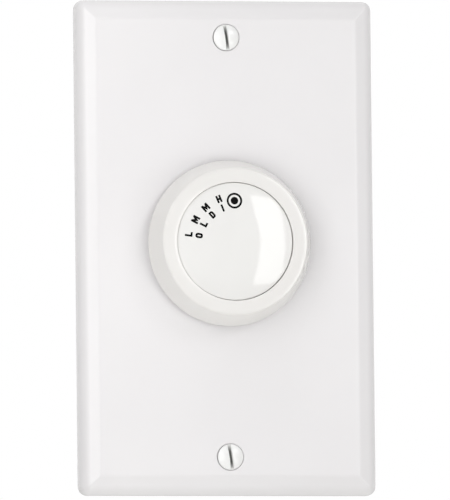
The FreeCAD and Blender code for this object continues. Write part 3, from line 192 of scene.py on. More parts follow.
# vulcanised fibre, punched from sheet: dull red with paper flecks
redFibre = mouldedPlastic("punchedVulcanFibre", {
    "light": "#9A4233", "shade": "#7F2F23", "flowMm": 1.2, "skinMm": 0.25, "rough": 0.7, "roughSpread": 0.08,
    "peel": 0.4, "peelMm": 0.04, "sockets": {"IOR": 1.5}})
# zinc plate on pressed steel: cool bright grey with faint lines from rolling
zincSteel = workedMetal("zincPlatedSteel", {
    "light": "#C9CDD2", "shade": "#AEB3BA", "stretch": (1.0, 1.0, 0.06), "lineMm": 0.5, "driftMm": 9,
    "rough": 0.33, "roughSpread": 0.08, "score": 0.12, "scoreMm": 0.02})
# spring steel, hardened and blued a little: darker, with fine lines along the strip
springSteel = workedMetal("bluedSpringSteel", {
    "light": "#8B9097", "shade": "#6B7078", "stretch": (0.08, 1.0, 1.0), "lineMm": 0.3, "driftMm": 4,
    "rough": 0.3, "roughSpread": 0.07, "score": 0.12, "scoreMm": 0.02})
# brass, stamped or turned: warm yellow, a little dulled by handling
satinBrass = workedMetal("satinBrass", {
    "light": "#D8B56A", "shade": "#BE9648", "stretch": (1.0, 0.08, 1.0), "lineMm": 0.3, "driftMm": 5,
    "rough": 0.3, "roughSpread": 0.08, "score": 0.12, "scoreMm": 0.02})
# green-dyed zinc on the earth screw: a clear green film over metal
greenZinc = workedMetal("greenDyedZinc", {
    "light": "#2F9A4C", "shade": "#1E7A38", "stretch": (1.0, 1.0, 0.2), "lineMm": 0.3, "driftMm": 2,
    "rough": 0.32, "roughSpread": 0.07, "score": 0.12, "scoreMm": 0.02})
print("materials made")


def makeObject(name, bm):
    mesh = bpy.data.meshes.new(name)
    bm.to_mesh(mesh)
    bm.free()
    obj = bpy.data.objects.new(name, mesh)
    scene.collection.objects.link(obj)
    return obj


def softShade(obj, degrees=32):
    obj.data.shade_smooth()
    obj.data.set_sharp_from_angle(angle=math.radians(degrees))


# turns an object's modifiers into a plain mesh
def settle(obj):
    bpy.context.view_layer.update()
    evaluated = obj.evaluated_get(bpy.context.evaluated_depsgraph_get())
    mesh = bpy.data.meshes.new_from_object(evaluated)
    obj.modifiers.clear()
    obj.data = mesh
    mesh.name = obj.name


def addBevel(obj, width):
    bevel = obj.modifiers.new("edges", "BEVEL")
    bevel.width = width * mm
    bevel.segments = edgeBreak["steps"]
    bevel.limit_method = "ANGLE"
    bevel.angle_limit = math.radians(edgeBreak["fromDegrees"])
    bevel.use_clamp_overlap = True
    bevel.miter_outer = "MITER_ARC"


def placePiece(obj, material, body, slotName, *replaced):
    obj.data.materials.clear()
    obj.data.materials.append(material)
    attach(obj, body)
    if replaced:
        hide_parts(*replaced)


# corners are (across, along, rounding); each one with a rounding becomes an arc of that radius
def roundedSection(corners, steps=8):
    points = []
    for i, (x, y, radius) in enumerate(corners):
        here = Vector((x, y))
        if radius == 0:
            points.append((x, y))
            continue
        before = (Vector(corners[i - 1][:2]) - here).normalized()
        after = (Vector(corners[(i + 1) % len(corners)][:2]) - here).normalized()
        half = before.angle(after) / 2
        middle = here + (before + after).normalized() * (radius / math.sin(half))
        start = here + before * (radius / math.tan(half)) - middle
        end = here + after * (radius / math.tan(half)) - middle
        startAngle = math.atan2(start.y, start.x)
        sweep = math.atan2(start.x * end.y - start.y * end.x, start.dot(end))
        for step in range(steps + 1):
            angle = startAngle + sweep * step / steps
            points.append((middle.x + radius * math.cos(angle), middle.y + radius * math.sin(angle)))
    return points


# turns a section of (radius, along) about an axis parallel to Y
def turnedForm(section, segments, rise=0.0):
    bm = bmesh.new()
    rings = []
    for radius, along in section:
        if radius == 0:
            rings.append([bm.verts.new((0, along * mm, rise * mm))])
            continue
        ring = []
        for i in range(segments):
            angle = math.tau * i / segments
            ring.append(bm.verts.new((radius * math.sin(angle) * mm, along * mm,
                                      (rise + radius * math.cos(angle)) * mm)))
        rings.append(ring)
    for first, second in zip(rings, rings[1:]):
        for i in range(segments):
            j = (i + 1) % segments
            corners = [first[i % len(first)], first[j % len(first)],
                       second[j % len(second)], second[i % len(second)]]
            bm.faces.new(list(dict.fromkeys(corners)))
    bmesh.ops.recalc_face_normals(bm, faces=bm.faces[:])
    return bm


# wall plate
plate = {
    "halfWide": 34.925, "halfTall": 57.15, "depth": 5.4, "roof": 3.5, "sideWall": 2.2, "insideCorner": 0.5,
    "corner": 2.2, "mitreSoft": 0.3, "footSoft": 0.25, "footMiddle": 0.07, "lipShare": 0.6,
    "rimRound": 3.5, "rimSteps": 14, "bevelRun": 4.4, "slope": 20.0,
    "creaseSoft": 2.4, "creaseSteps": 6, "creaseLead": 0.5, "flatRun": 0.1,
    "holeRadius": 9.2, "screwHole": 1.9, "sinkRadius": 3.25, "sinkEnd": 3.79,
    "bossHalf": 3.0, "bossEnd": 1.3, "bossCorner": 0.3, "bossSteps": 4, "sharpDegrees": 28,
}


def rectangleLoop(bm, inset, along, corner, halfWide, halfTall, up=0.0, steps=8):
    wide, tall = halfWide - inset, halfTall - inset
    loop = []
    for quarter, (sx, sz) in enumerate(((1, 1), (-1, 1), (-1, -1), (1, -1))):
        for step in range(steps + 1):
            angle = math.radians(90 * quarter + 90 * step / steps)
            x = sx * (wide - corner) + corner * math.cos(angle)
            z = sz * (tall - corner) + corner * math.sin(angle)
            loop.append(bm.verts.new((x * mm, along * mm, (z + up) * mm)))
    return loop


def circleLoop(bm, radius, along, up, segments=64):
    turns = [math.tau * i / segments for i in range(segments)]
    return [bm.verts.new((radius * math.cos(t) * mm, along * mm, (up + radius * math.sin(t)) * mm))
            for t in turns]


def bridge(bm, first, second):
    for i in range(len(first)):
        j = (i + 1) % len(first)
        bm.faces.new((first[i], first[j], second[j], second[i]))


def fillBetween(bm, *loops):
    edges = []
    for loop in loops:
        for i, vert in enumerate(loop):
            after = loop[(i + 1) % len(loop)]
            edges.append(bm.edges.get((vert, after)) or bm.edges.new((vert, after)))
    bmesh.ops.triangle_fill(bm, use_beauty=True, edges=edges)


def makeWallPlate():
    slope = math.radians(plate["slope"])
    radius = plate["rimRound"]
    roundIn = radius * (1 - math.sin(slope))
    shoulder = plate["depth"] - (plate["bevelRun"] - roundIn) * math.tan(slope)
    lip = shoulder - radius * math.cos(slope)
    foot, middle = plate["footSoft"], plate["footMiddle"]
    section = [(foot, 0.0), (middle, -middle), (0.0, -foot), (0.0, -lip * plate["lipShare"])]
    for step in range(plate["rimSteps"] + 1):
        angle = (math.pi / 2 - slope) * step / plate["rimSteps"]
        section.append((radius * (1 - math.cos(angle)), -lip - radius * math.sin(angle)))
    # the crease is a small arc between the bevel's slope and the flat face
    soft = plate["creaseSoft"]
    reach = soft * math.tan(slope / 2)
    run, face = plate["bevelRun"], -plate["depth"]
    lead = plate["creaseLead"]
    section.append((run - reach * math.cos(slope) - lead,
                    face + (reach * math.sin(slope) + lead * math.tan(slope))))
    for step in range(plate["creaseSteps"] + 1):
        angle = slope * (1 - step / plate["creaseSteps"])
        section.append((run + reach - soft * math.sin(angle), face + soft * (1 - math.cos(angle))))
    section.append((run + reach + plate["flatRun"], face))
    bm = bmesh.new()
    sizes = (plate["halfWide"], plate["halfTall"])
    loops = []
    for inset, along in section:
        corner = max(plate["corner"] - inset, plate["mitreSoft"])
        loops.append(rectangleLoop(bm, inset, along, corner, *sizes))
    for first, second in zip(loops, loops[1:]):
        bridge(bm, first, second)
    inner = [rectangleLoop(bm, plate["sideWall"], along, plate["insideCorner"], *sizes)
             for along in (0.0, -plate["roof"])]
    bridge(bm, loops[0], inner[0])
    bridge(bm, inner[0], inner[1])
    frontHoles = [circleLoop(bm, plate["holeRadius"], face, knobRise)]
    roofHoles = [circleLoop(bm, plate["holeRadius"], -plate["roof"], knobRise)]
    bridge(bm, frontHoles[0], roofHoles[0])
    for up in (plateScrewReach, -plateScrewReach):
        sink = [circleLoop(bm, r, along, up) for r, along in (
            (plate["sinkRadius"], face), (plate["screwHole"], -plate["sinkEnd"]),
            (plate["screwHole"], -plate["bossEnd"]))]
        bridge(bm, sink[0], sink[1])
        bridge(bm, sink[1], sink[2])
        half = plate["bossHalf"]
        boss = [rectangleLoop(bm, 0.0, along, plate["bossCorner"], half, half, up, plate["bossSteps"])
                for along in (-plate["bossEnd"], -plate["roof"])]
        bridge(bm, boss[0], boss[1])
        fillBetween(bm, boss[0], sink[2])
        frontHoles.append(sink[0])
        roofHoles.append(boss[1])
    fillBetween(bm, loops[-1], *frontHoles)
    fillBetween(bm, inner[1], *roofHoles)
    bmesh.ops.recalc_face_normals(bm, faces=bm.faces[:])
    obj = makeObject("wallPlate", bm)
    softShade(obj, plate["sharpDegrees"])
    obj.modifiers.new("evenNormals", "WEIGHTED_NORMAL").keep_sharp = True  # the flat face shades flat
    settle(obj)
    placePiece(obj, plateUrea, "base", "plate_plastic", "wall_plate")


makeWallPlate()
print("wall plate made")


def addInputs(tree, kinds):
    for label, kind in kinds.items():
        tree.interface.new_socket(label, in_out="INPUT", socket_type=kind)
    tree.interface.new_socket("Geometry", in_out="OUTPUT", socket_type="NodeSocketGeometry")
    return addNode(tree, "NodeGroupInput").outputs


def endTree(tree, geometry, material):
    real = addNode(tree, "GeometryNodeRealizeInstances", links={"Geometry": geometry})
    finish = addNode(tree, "GeometryNodeSetMaterial", links={
        "Geometry": real.outputs["Geometry"], "Material": material})
    addNode(tree, "NodeGroupOutput", links={"Geometry": finish.outputs["Geometry"]})


# Geometry Nodes: copies of a pattern piece in a row, each turned a step further than the one before
def makeRowTree():
    tree = bpy.data.node_groups.new("patternRow", "GeometryNodeTree")
    given = addInputs(tree, {
        "Pattern": "NodeSocketObject", "Count": "NodeSocketInt", "Start": "NodeSocketVector",
        "Step": "NodeSocketVector", "Turn Step": "NodeSocketVector", "Finish": "NodeSocketMaterial"})
    line = addNode(tree, "GeometryNodeMeshLine", {"mode": "OFFSET"}, links={
        "Count": given["Count"], "Start Location": given["Start"], "Offset": given["Step"]})
    index = addNode(tree, "GeometryNodeInputIndex")
    turn = addNode(tree, "ShaderNodeVectorMath", {"operation": "SCALE"}, links={
        "Vector": given["Turn Step"], "Scale": index.outputs["Index"]})
    turn = addNode(tree, "FunctionNodeEulerToRotation", links={"Euler": turn.outputs["Vector"]})
    info = addNode(tree, "GeometryNodeObjectInfo", links={"Object": given["Pattern"]})
    copies = addNode(tree, "GeometryNodeInstanceOnPoints", links={
        "Points": line.outputs["Mesh"], "Instance": info.outputs["Geometry"],
        "Rotation": turn.outputs["Rotation"]})
    endTree(tree, copies.outputs["Instances"], given["Finish"])
    return tree


# Geometry Nodes: a rolled thread, a cylinder along Z whose skin dips once in each pitch, round a helix
def makeThreadTree():
    tree = bpy.data.node_groups.new("rolledThread", "GeometryNodeTree")
    given = addInputs(tree, {
        "Radius": "NodeSocketFloat", "Depth": "NodeSocketFloat", "Pitch": "NodeSocketFloat",
        "Length": "NodeSocketFloat", "Sides": "NodeSocketInt", "Rings": "NodeSocketInt",
        "Finish": "NodeSocketMaterial"})
    blank = addNode(tree, "GeometryNodeMeshCylinder", links={
        "Vertices": given["Sides"], "Side Segments": given["Rings"], "Radius": given["Radius"],
        "Depth": given["Length"]})
    where = addNode(tree, "ShaderNodeSeparateXYZ", links={
        "Vector": addNode(tree, "GeometryNodeInputPosition").outputs["Position"]}).outputs
    around = addNode(tree, "ShaderNodeMath", {"operation": "ARCTAN2"}, links={0: where["Y"], 1: where["X"]})
    around = addNode(tree, "ShaderNodeMath", {"operation": "DIVIDE"}, {1: math.tau}, {0: around.outputs[0]})
    along = addNode(tree, "ShaderNodeMath", {"operation": "DIVIDE"}, links={0: where["Z"], 1: given["Pitch"]})
    helix = addNode(tree, "ShaderNodeMath", {"operation": "SUBTRACT"}, links={
        0: along.outputs[0], 1: around.outputs[0]})
    helix = addNode(tree, "ShaderNodeMath", {"operation": "FRACT"}, links={0: helix.outputs[0]})
    dip = addNode(tree, "ShaderNodeMath", {"operation": "PINGPONG"}, {1: 0.5}, {0: helix.outputs[0]})
    dip = addNode(tree, "ShaderNodeMath", {"operation": "MULTIPLY"}, links={
        0: dip.outputs[0], 1: given["Depth"]})
    dip = addNode(tree, "ShaderNodeMath", {"operation": "MULTIPLY"}, {1: 2.0}, {0: dip.outputs[0]})
    share = addNode(tree, "ShaderNodeMath", {"operation": "DIVIDE"}, links={
        0: dip.outputs[0], 1: given["Radius"]})
    share = addNode(tree, "ShaderNodeMath", {"operation": "MULTIPLY"}, {1: -1.0}, {0: share.outputs[0]})
    flat = addNode(tree, "ShaderNodeCombineXYZ", links={"X": where["X"], "Y": where["Y"]})
    inward = addNode(tree, "ShaderNodeVectorMath", {"operation": "SCALE"}, links={
        "Vector": flat.outputs["Vector"], "Scale": share.outputs[0]})
    cut = addNode(tree, "GeometryNodeSetPosition", links={
        "Geometry": blank.outputs["Mesh"], "Offset": inward.outputs["Vector"]})
    endTree(tree, cut.outputs["Geometry"], given["Finish"])
    return tree


def grow(name, tree, inputs):
    obj = makeObject(name, bmesh.new())
    growing = obj.modifiers.new("nodes", "NODES")
    growing.node_group = tree
    for item in tree.interface.items_tree:
        if item.in_out == "INPUT":
            growing[item.identifier] = inputs[item.name]
    settle(obj)
    return obj


rowTree = makeRowTree()
threadTree = makeThreadTree()
rolled = {"pitch": 0.794, "depth": 0.38, "sides": 32, "ringsPerPitch": 8, "overlap": 0.2, "sharpDegrees": 70}


def makeRow(name, pattern, material, count, start, step=(0, 0, 0), turnStep=(0, 0, 0)):
    obj = grow(name, rowTree, {
        "Pattern": pattern, "Count": count, "Start": [v * mm for v in start], "Step": [v * mm for v in step],
        "Turn Step": [math.radians(v) for v in turnStep], "Finish": material})
    bpy.data.objects.remove(pattern)
    return obj


# joins one object's mesh into another's and removes it
def joinInto(obj, other):
    bm = bmesh.new()
    bm.from_mesh(obj.data)
    bm.from_mesh(other.data)
    bm.to_mesh(obj.data)
    bm.free()
    bpy.data.objects.remove(other)


# a threaded shank along Y between two places
def addThread(obj, radius, start, end, material):
    pitches = (end - start) / rolled["pitch"]
    thread = grow("thread", threadTree, {
        "Radius": radius * mm, "Depth": rolled["depth"] * mm, "Pitch": rolled["pitch"] * mm,
        "Length": (end - start) * mm, "Sides": rolled["sides"],
        "Rings": round(pitches * rolled["ringsPerPitch"]), "Finish": material})
    thread.data.transform(Matrix.Translation((0, (start + end) / 2 * mm, 0))
                          @ Matrix.Rotation(-math.pi / 2, 4, "X"))
    softShade(thread, rolled["sharpDegrees"])
    joinInto(obj, thread)


slotted = {"segments": 72, "sawSegments": 144, "sharpDegrees": 30}


# a turned head with a screwdriver slot across its top; the slot is (width, depth, radius of the saw)
def slottedHead(name, section, top, slot, turnDegrees=0.0, edge=0.07):
    obj = makeObject(name, turnedForm(section, slotted["segments"]))
    width, depth, saw = slot
    bm = bmesh.new()
    bmesh.ops.create_cone(bm, cap_ends=True, segments=slotted["sawSegments"], radius1=saw * mm,
                          radius2=saw * mm, depth=width * mm)
    bm.transform(Matrix.Translation((0, (top + depth - saw) * mm, 0))
                 @ Matrix.Rotation(math.radians(turnDegrees), 4, "Y") @ Matrix.Rotation(math.pi / 2, 4, "Y"))
    cutter = makeObject("slotCutter", bm)
    trim = obj.modifiers.new("slot", "BOOLEAN")
    trim.object = cutter
    trim.operation = "DIFFERENCE"
    trim.solver = "EXACT"
    addBevel(obj, edge)
    settle(obj)
    bpy.data.objects.remove(cutter)
    softShade(obj, slotted["sharpDegrees"])
    return obj


# a shallow dome from its top down to a rim radius, as points of a section
def domeSection(radius, top, rise, steps=14):
    ball = (radius ** 2 + rise ** 2) / (2 * rise)
    reach = math.asin(radius / ball)
    turns = [reach * step / steps for step in range(steps + 1)]
    return [(ball * math.sin(t), top + ball * (1 - math.cos(t))) for t in turns]


# oval-head plate screws
plateScrew = {
    "headRadius": 2.95, "top": -6.35, "rise": 0.85, "rimEdge": 0.12, "neckRadius": 1.7, "neckTop": -3.75,
    "threadStart": -3.0, "end": 3.6, "slot": (0.8, 1.9, 4.7), "slotTurn": -8.0,
}


def makePlateScrews():
    rim = plateScrew["top"] + plateScrew["rise"]
    neck, neckEnd = plateScrew["neckRadius"], plateScrew["threadStart"] + rolled["overlap"]
    section = domeSection(plateScrew["headRadius"], plateScrew["top"], plateScrew["rise"])
    section += [(plateScrew["headRadius"], rim + plateScrew["rimEdge"]), (neck, plateScrew["neckTop"]),
                (neck, neckEnd), (0.0, neckEnd)]
    pattern = slottedHead("plateScrewPattern", section, plateScrew["top"], plateScrew["slot"],
                          plateScrew["slotTurn"])
    addThread(pattern, neck, plateScrew["threadStart"], plateScrew["end"], screwEnamel)
    reach = plateScrewReach
    obj = makeRow("plateScrews", pattern, screwEnamel, 2, (0, 0, -reach), (0, 0, 2 * reach))
    placePiece(obj, screwEnamel, "base", "white_enamel", "plate_screws")


makePlateScrews()
print("plate screws made")

# screws to the wall box, with long threads behind the strap
boxScrew = {
    "headRadius": 3.4, "headTop": -3.2, "headRise": 0.7, "domeSteps": 8, "headBack": -1.3, "neckRadius": 1.5,
    "threadRadius": 1.75, "threadStart": 0.5, "end": 24.0, "slot": (1.0, 0.9, 16.0),
}


def makeBoxScrews():
    head, back = boxScrew["headRadius"], boxScrew["headBack"]
    neck, neckEnd = boxScrew["neckRadius"], boxScrew["threadStart"] + rolled["overlap"]
    section = domeSection(head, boxScrew["headTop"], boxScrew["headRise"], boxScrew["domeSteps"])
    section += [(head, back), (neck, back), (neck, neckEnd), (0.0, neckEnd)]
    pattern = slottedHead("boxScrewPattern", section, boxScrew["headTop"], boxScrew["slot"])
    addThread(pattern, boxScrew["threadRadius"], boxScrew["threadStart"], boxScrew["end"], zincSteel)
    reach = boxScrewReach
    obj = makeRow("boxScrews", pattern, zincSteel, 2, (0, 0, -reach), (0, 0, 2 * reach))
    placePiece(obj, zincSteel, "base", "zinc_steel", "box_screws")


makeBoxScrews()
print("box screws made")

# binding screws in the sides of the case, one for each wire
bindingScrew = {
    "headRadius": 4.0, "headHeight": 1.9, "headRise": 0.6, "domeSteps": 8, "underRound": 0.25,
    "neckRadius": 1.75, "reach": 4.0, "tipCut": 0.3, "slot": (1.1, 0.9, 20.0), "slotTurn": 20.0, "edge": 0.09,
    "across": 17.4, "depth": 25.7,
}


def makeBindingScrews():
    top, under = -bindingScrew["headHeight"], bindingScrew["underRound"]
    head, neck = bindingScrew["headRadius"], bindingScrew["neckRadius"]
    tip, tipCut = bindingScrew["reach"], bindingScrew["tipCut"]
    section = domeSection(head, top, bindingScrew["headRise"], bindingScrew["domeSteps"])
    section += [(head, -under), (head - under, 0.0), (neck, 0.0), (neck, tip - tipCut), (neck - tipCut, tip),
                (0.0, tip)]
    pattern = slottedHead("bindingScrewPattern", section, top, bindingScrew["slot"], bindingScrew["slotTurn"],
                          bindingScrew["edge"])
    pattern.data.transform(Matrix.Rotation(math.pi / 2, 4, "Z"))
    across = bindingScrew["across"]
    obj = makeRow("bindingScrews", pattern, satinBrass, 2, (across, bindingScrew["depth"], 0),
                  (-2 * across, 0, 0), turnStep=(0, 0, 180))
    placePiece(obj, satinBrass, "base", "brass", "terminal_screws")


makeBindingScrews()
print("binding screws made")

# knob and its cap
knob = {
    "baseRadius": 19.2, "base": -6.6, "baseRound": 0.25, "frontRadius": 17.0, "front": -13.6,
    "edgeRound": 0.5, "crown": 0.1, "crownPower": 4, "crownSteps": 16,
    "innerRadius": 13.65, "innerRound": 0.12, "floor": -11.7, "floorRound": 0.15,
    "webBack": -9.9, "webRound": 0.3, "insideRadius": 15.2, "skirtRound": 0.2,
    "hubRadius": 6.2, "hubEnd": -6.2, "hubRound": 0.2,
    "boreRadius": 3.225, "boreEnd": -10.7, "boreRound": 0.1, "segments": 160, "sharpDegrees": 40,
    "ribCount": 6, "ribThick": 1.2, "ribStart": 5.3, "ribReach": 16.1, "ribEnd": -9.6, "ribSink": 0.3,
}
cap = {
    "radius": 13.54, "top": -13.85, "rim": -13.0, "back": -11.7, "power": 2.6, "domeSteps": 28,
    "edgeRound": 0.12, "edgeSteps": 6, "slopeStep": 0.01, "segments": 160, "sharpDegrees": 40,
    "seat": (-0.04, 0.03), "pegCount": 3, "pegHalf": 1.0, "pegCircle": 9.0, "pegEnd": -10.2, "pegSink": 0.3,
}


# a plain bar between two corners, in mm, the pattern for the knob's ribs and the cap's pegs
def makeBar(name, lowCorner, highCorner, edge=0.12):
    low, high = Vector(lowCorner) * mm, Vector(highCorner) * mm
    bm = bmesh.new()
    bmesh.ops.create_cube(bm, size=1.0)
    bm.transform(Matrix.Translation((low + high) / 2) @ Matrix.Diagonal((*(high - low), 1)))
    obj = makeObject(name, bm)
    addBevel(obj, edge)
    settle(obj)
    softShade(obj)
    return obj


def makeKnobBody():
    # the front ring is slightly crowned between its inner edge and the tapered flank
    taper = (knob["baseRadius"] - knob["frontRadius"]) / (knob["base"] - knob["front"])
    inner, outer = knob["innerRadius"], knob["frontRadius"] + knob["crown"] * taper
    crown = []
    for step in range(1, knob["crownSteps"]):
        share = 2 * step / knob["crownSteps"] - 1
        crown.append(((inner + outer + share * (outer - inner)) / 2,
                      knob["front"] + knob["crown"] * share ** knob["crownPower"], 0))
    edge = knob["front"] + knob["crown"]
    corners = [
        (0.0, knob["floor"], 0), (inner, knob["floor"], knob["floorRound"]),
        (inner, edge, knob["innerRound"]), *crown, (outer, edge, knob["edgeRound"]),
        (knob["baseRadius"], knob["base"], knob["baseRound"]),
        (knob["insideRadius"], knob["base"], knob["skirtRound"]),
        (knob["insideRadius"], knob["webBack"], knob["webRound"]),
        (knob["hubRadius"], knob["webBack"], knob["webRound"]),
        (knob["hubRadius"], knob["hubEnd"], knob["hubRound"]),
        (knob["boreRadius"], knob["hubEnd"], knob["boreRound"]),
        (knob["boreRadius"], knob["boreEnd"], 0), (0.0, knob["boreEnd"], 0),
    ]
    obj = makeObject("knobBody", turnedForm(roundedSection(corners), knob["segments"], knobRise))
    softShade(obj, knob["sharpDegrees"])
    half = knob["ribThick"] / 2
    rib = makeBar("ribPattern", (-half, knob["webBack"] - knob["ribSink"], knob["ribStart"]),
                  (half, knob["ribEnd"], knob["ribReach"]))
    joinInto(obj, makeRow("knobRibs", rib, knobAbs, knob["ribCount"], (0, 0, knobRise),
                          turnStep=(0, 360 / knob["ribCount"], 0)))
    placePiece(obj, knobAbs, "knob", "knob_plastic", "knob_body")


# the cap is nearly flat in the middle and falls away faster towards its rim
def capHeight(radius):
    return cap["top"] + (cap["rim"] - cap["top"]) * (radius / cap["radius"]) ** cap["power"]


def makeKnobCap():
    section = [(0.0, cap["top"])]
    rim = cap["radius"] - cap["edgeRound"]
    for step in range(1, cap["domeSteps"] + 1):
        radius = rim * step / cap["domeSteps"]
        section.append((radius, capHeight(radius)))
    drop = capHeight(rim)
    slope = math.atan((drop - capHeight(rim - cap["slopeStep"])) / cap["slopeStep"])
    for step in range(1, cap["edgeSteps"] + 1):
        angle = slope + (math.pi / 2 - slope) * step / cap["edgeSteps"]
        section.append((rim + cap["edgeRound"] * (math.sin(angle) - math.sin(slope)),
                        drop + cap["edgeRound"] * (math.cos(slope) - math.cos(angle))))
    section += [(section[-1][0], cap["back"]), (0.0, cap["back"])]
    obj = makeObject("knobCap", turnedForm(section, cap["segments"], knobRise))
    softShade(obj, cap["sharpDegrees"])
    half = cap["pegHalf"]
    peg = makeBar("pegPattern", (-half, cap["back"] - cap["pegSink"], cap["pegCircle"] - half),
                  (half, cap["pegEnd"], cap["pegCircle"] + half))
    joinInto(obj, makeRow("capPegs", peg, capAbs, cap["pegCount"], (0, 0, knobRise),
                          turnStep=(0, 360 / cap["pegCount"], 0)))
    obj.data.transform(Matrix.Translation((cap["seat"][0] * mm, 0, cap["seat"][1] * mm)))
    placePiece(obj, capAbs, "knob", "cap_plastic", "knob_cap")


makeKnobBody()
makeKnobCap()
print("knob and cap made")

# printed marks round the cap: off at the top, then the four speeds to its left
marks = {
    # each speed's letters, degrees round from the top, and the circles of its outer and inner letter
    "speeds": (("HI", 21.2, 10.45, 8.2), ("MD", 41.6, 10.4, 8.15), ("ML", 61.8, 10.55, 8.4),
               ("LO", 81.5, 11.05, 8.65)),
    "tall": 1.72, "stroke": 0.46, "thick": 0.02, "roundSteps": 40, "ringSteps": 56,
    "offTurn": 1.0, "offCircle": 9.36, "offRing": 1.82, "offStroke": 0.46, "offDot": 0.88,
    "wide": {"H": 1.18, "I": 0.44, "M": 1.6, "D": 1.12, "L": 1.08, "O": 1.2},
    # corners of the straight letters: side and strokes from it across, then the same upwards
    "straight": {
        "I": ((-1, 0, -1, 0), (1, 0, -1, 0), (1, 0, 1, 0), (-1, 0, 1, 0)),
        "L": ((-1, 0, -1, 0), (1, 0, -1, 0), (1, 0, -1, 1), (-1, 1, -1, 1), (-1, 1, 1, 0), (-1, 0, 1, 0)),
        "H": ((-1, 0, -1, 0), (-1, 1, -1, 0), (-1, 1, 0, -0.5), (1, -1, 0, -0.5), (1, -1, -1, 0),
              (1, 0, -1, 0), (1, 0, 1, 0), (1, -1, 1, 0), (1, -1, 0, 0.5), (-1, 1, 0, 0.5), (-1, 1, 1, 0),
              (-1, 0, 1, 0)),
        "M": ((-1, 0, -1, 0), (-1, 1, -1, 0), (-1, 1, -0.1, 0), (0, 0, -0.9, 0), (1, -1, -0.1, 0),
              (1, -1, -1, 0), (1, 0, -1, 0), (1, 0, 1, 0), (1, -1, 1, 0), (0, 0, 0.3, 0), (-1, 1, 1, 0),
              (-1, 0, 1, 0)),
    },
    # how square the left and right halves of the round letters are
    "round": {"O": (2.8, 2.8), "D": (9.0, 2.8)},
}


# one capital letter, flat, about its own middle
def letterShape(letter):
    flat = bmesh.new()
    wide, tall, stroke = marks["wide"][letter] / 2, marks["tall"] / 2, marks["stroke"]
    if letter in marks["straight"]:
        flat.faces.new([flat.verts.new((sx * wide + kx * stroke, sy * tall + ky * stroke, 0))
                        for sx, kx, sy, ky in marks["straight"][letter]])
        return flat
    left, right = marks["round"][letter]
    loops = []
    for inset in (0.0, stroke):
        loop = []
        for step in range(marks["roundSteps"]):
            angle = math.tau * step / marks["roundSteps"]
            across, up = math.cos(angle), math.sin(angle)
            power = 2 / (right if across > 0 else left)
            loop.append(flat.verts.new((math.copysign(abs(across) ** power, across) * (wide - inset),
                                        math.copysign(abs(up) ** power, up) * (tall - inset), 0)))
        loops.append(loop)
    bridge(flat, *loops)
    return flat


# lays flat print, drawn in mm about its own middle, on the cap at a circle and an angle, and gives it an edge
def layPrint(bm, flat, circle, degrees):
    turn = Matrix.Rotation(math.radians(degrees), 2)
    faces = flat.faces[:]
    lifted = bmesh.ops.extrude_face_region(flat, geom=faces)
    for item in lifted["geom"]:
        if isinstance(item, bmesh.types.BMVert):
            item.co.z += 1.0
    for vert in flat.verts:
        spot = turn @ Vector((vert.co.x, vert.co.y + circle))
        height = capHeight(spot.length) - marks["thick"] * (vert.co.z * 2 - 1)
        vert.co = Vector((spot.x * mm, height * mm, (spot.y + knobRise) * mm))
    mesh = bpy.data.meshes.new("print")
    flat.to_mesh(mesh)
    flat.free()
    bm.from_mesh(mesh)
    bpy.data.meshes.remove(mesh)


def makeMarks():
    bm = bmesh.new()
    for word, degrees, *circles in marks["speeds"]:
        for letter, circle in zip(word, circles):
            layPrint(bm, letterShape(letter), circle, degrees)
    dot = bmesh.new()
    bmesh.ops.create_circle(dot, cap_ends=True, radius=marks["offDot"], segments=marks["roundSteps"])
    layPrint(bm, dot, marks["offCircle"], marks["offTurn"])
    ring = bmesh.new()
    angles = [math.tau * i / marks["ringSteps"] for i in range(marks["ringSteps"])]
    loops = []
    for radius in (marks["offRing"], marks["offRing"] - marks["offStroke"]):
        loops.append([ring.verts.new((radius * math.cos(a), radius * math.sin(a), 0)) for a in angles])
    bridge(ring, *loops)
    layPrint(bm, ring, marks["offCircle"], marks["offTurn"])
    bmesh.ops.recalc_face_normals(bm, faces=bm.faces[:])
    obj = makeObject("printedMarks", bm)
    placePiece(obj, markInk, "knob", "cap_plastic")


makeMarks()
print("printed marks made")

# pressed and moulded pieces behind the plate: the CAD form with its hard edges broken, as tools leave them
softEdges = {
    "rear_housing": ("switchCase", 0.35, casePhenolic, "case_plastic"),
    "mounting_strap": ("mountingStrap", 0.18, zincSteel, "zinc_steel"),
    "ground_screw": ("earthScrew", 0.15, greenZinc, "green_enamel"),
    "line_terminal": ("lineTerminal", 0.1, satinBrass, "brass"),
    "load_terminal": ("loadTerminal", 0.1, satinBrass, "brass"),
    "screw_retainers": ("screwRetainers", 0.08, redFibre, "red_fibre"),
}
softening = {"merge": 0.002, "flatDegrees": 0.5, "sharpDegrees": 30}


def softenedCopy(nodeName, name, width):
    source = nodes[nodeName].data
    mesh = bpy.data.meshes.new(name)
    mesh.from_pydata([v.co for v in source.vertices], [], [p.vertices[:] for p in source.polygons])
    bm = bmesh.new()
    bm.from_mesh(mesh)
    bmesh.ops.remove_doubles(bm, verts=bm.verts[:], dist=softening["merge"] * mm)
    bmesh.ops.dissolve_limit(bm, angle_limit=math.radians(softening["flatDegrees"]), verts=bm.verts[:],
                             edges=bm.edges[:])
    bpy.data.meshes.remove(mesh)
    obj = makeObject(name, bm)
    addBevel(obj, width)
    settle(obj)
    softShade(obj, softening["sharpDegrees"])
    return obj


for nodeName, (pieceName, width, finish, slotName) in softEdges.items():
    placePiece(softenedCopy(nodeName, pieceName, width), finish, "base", slotName, nodeName)
print("pieces behind the plate made")

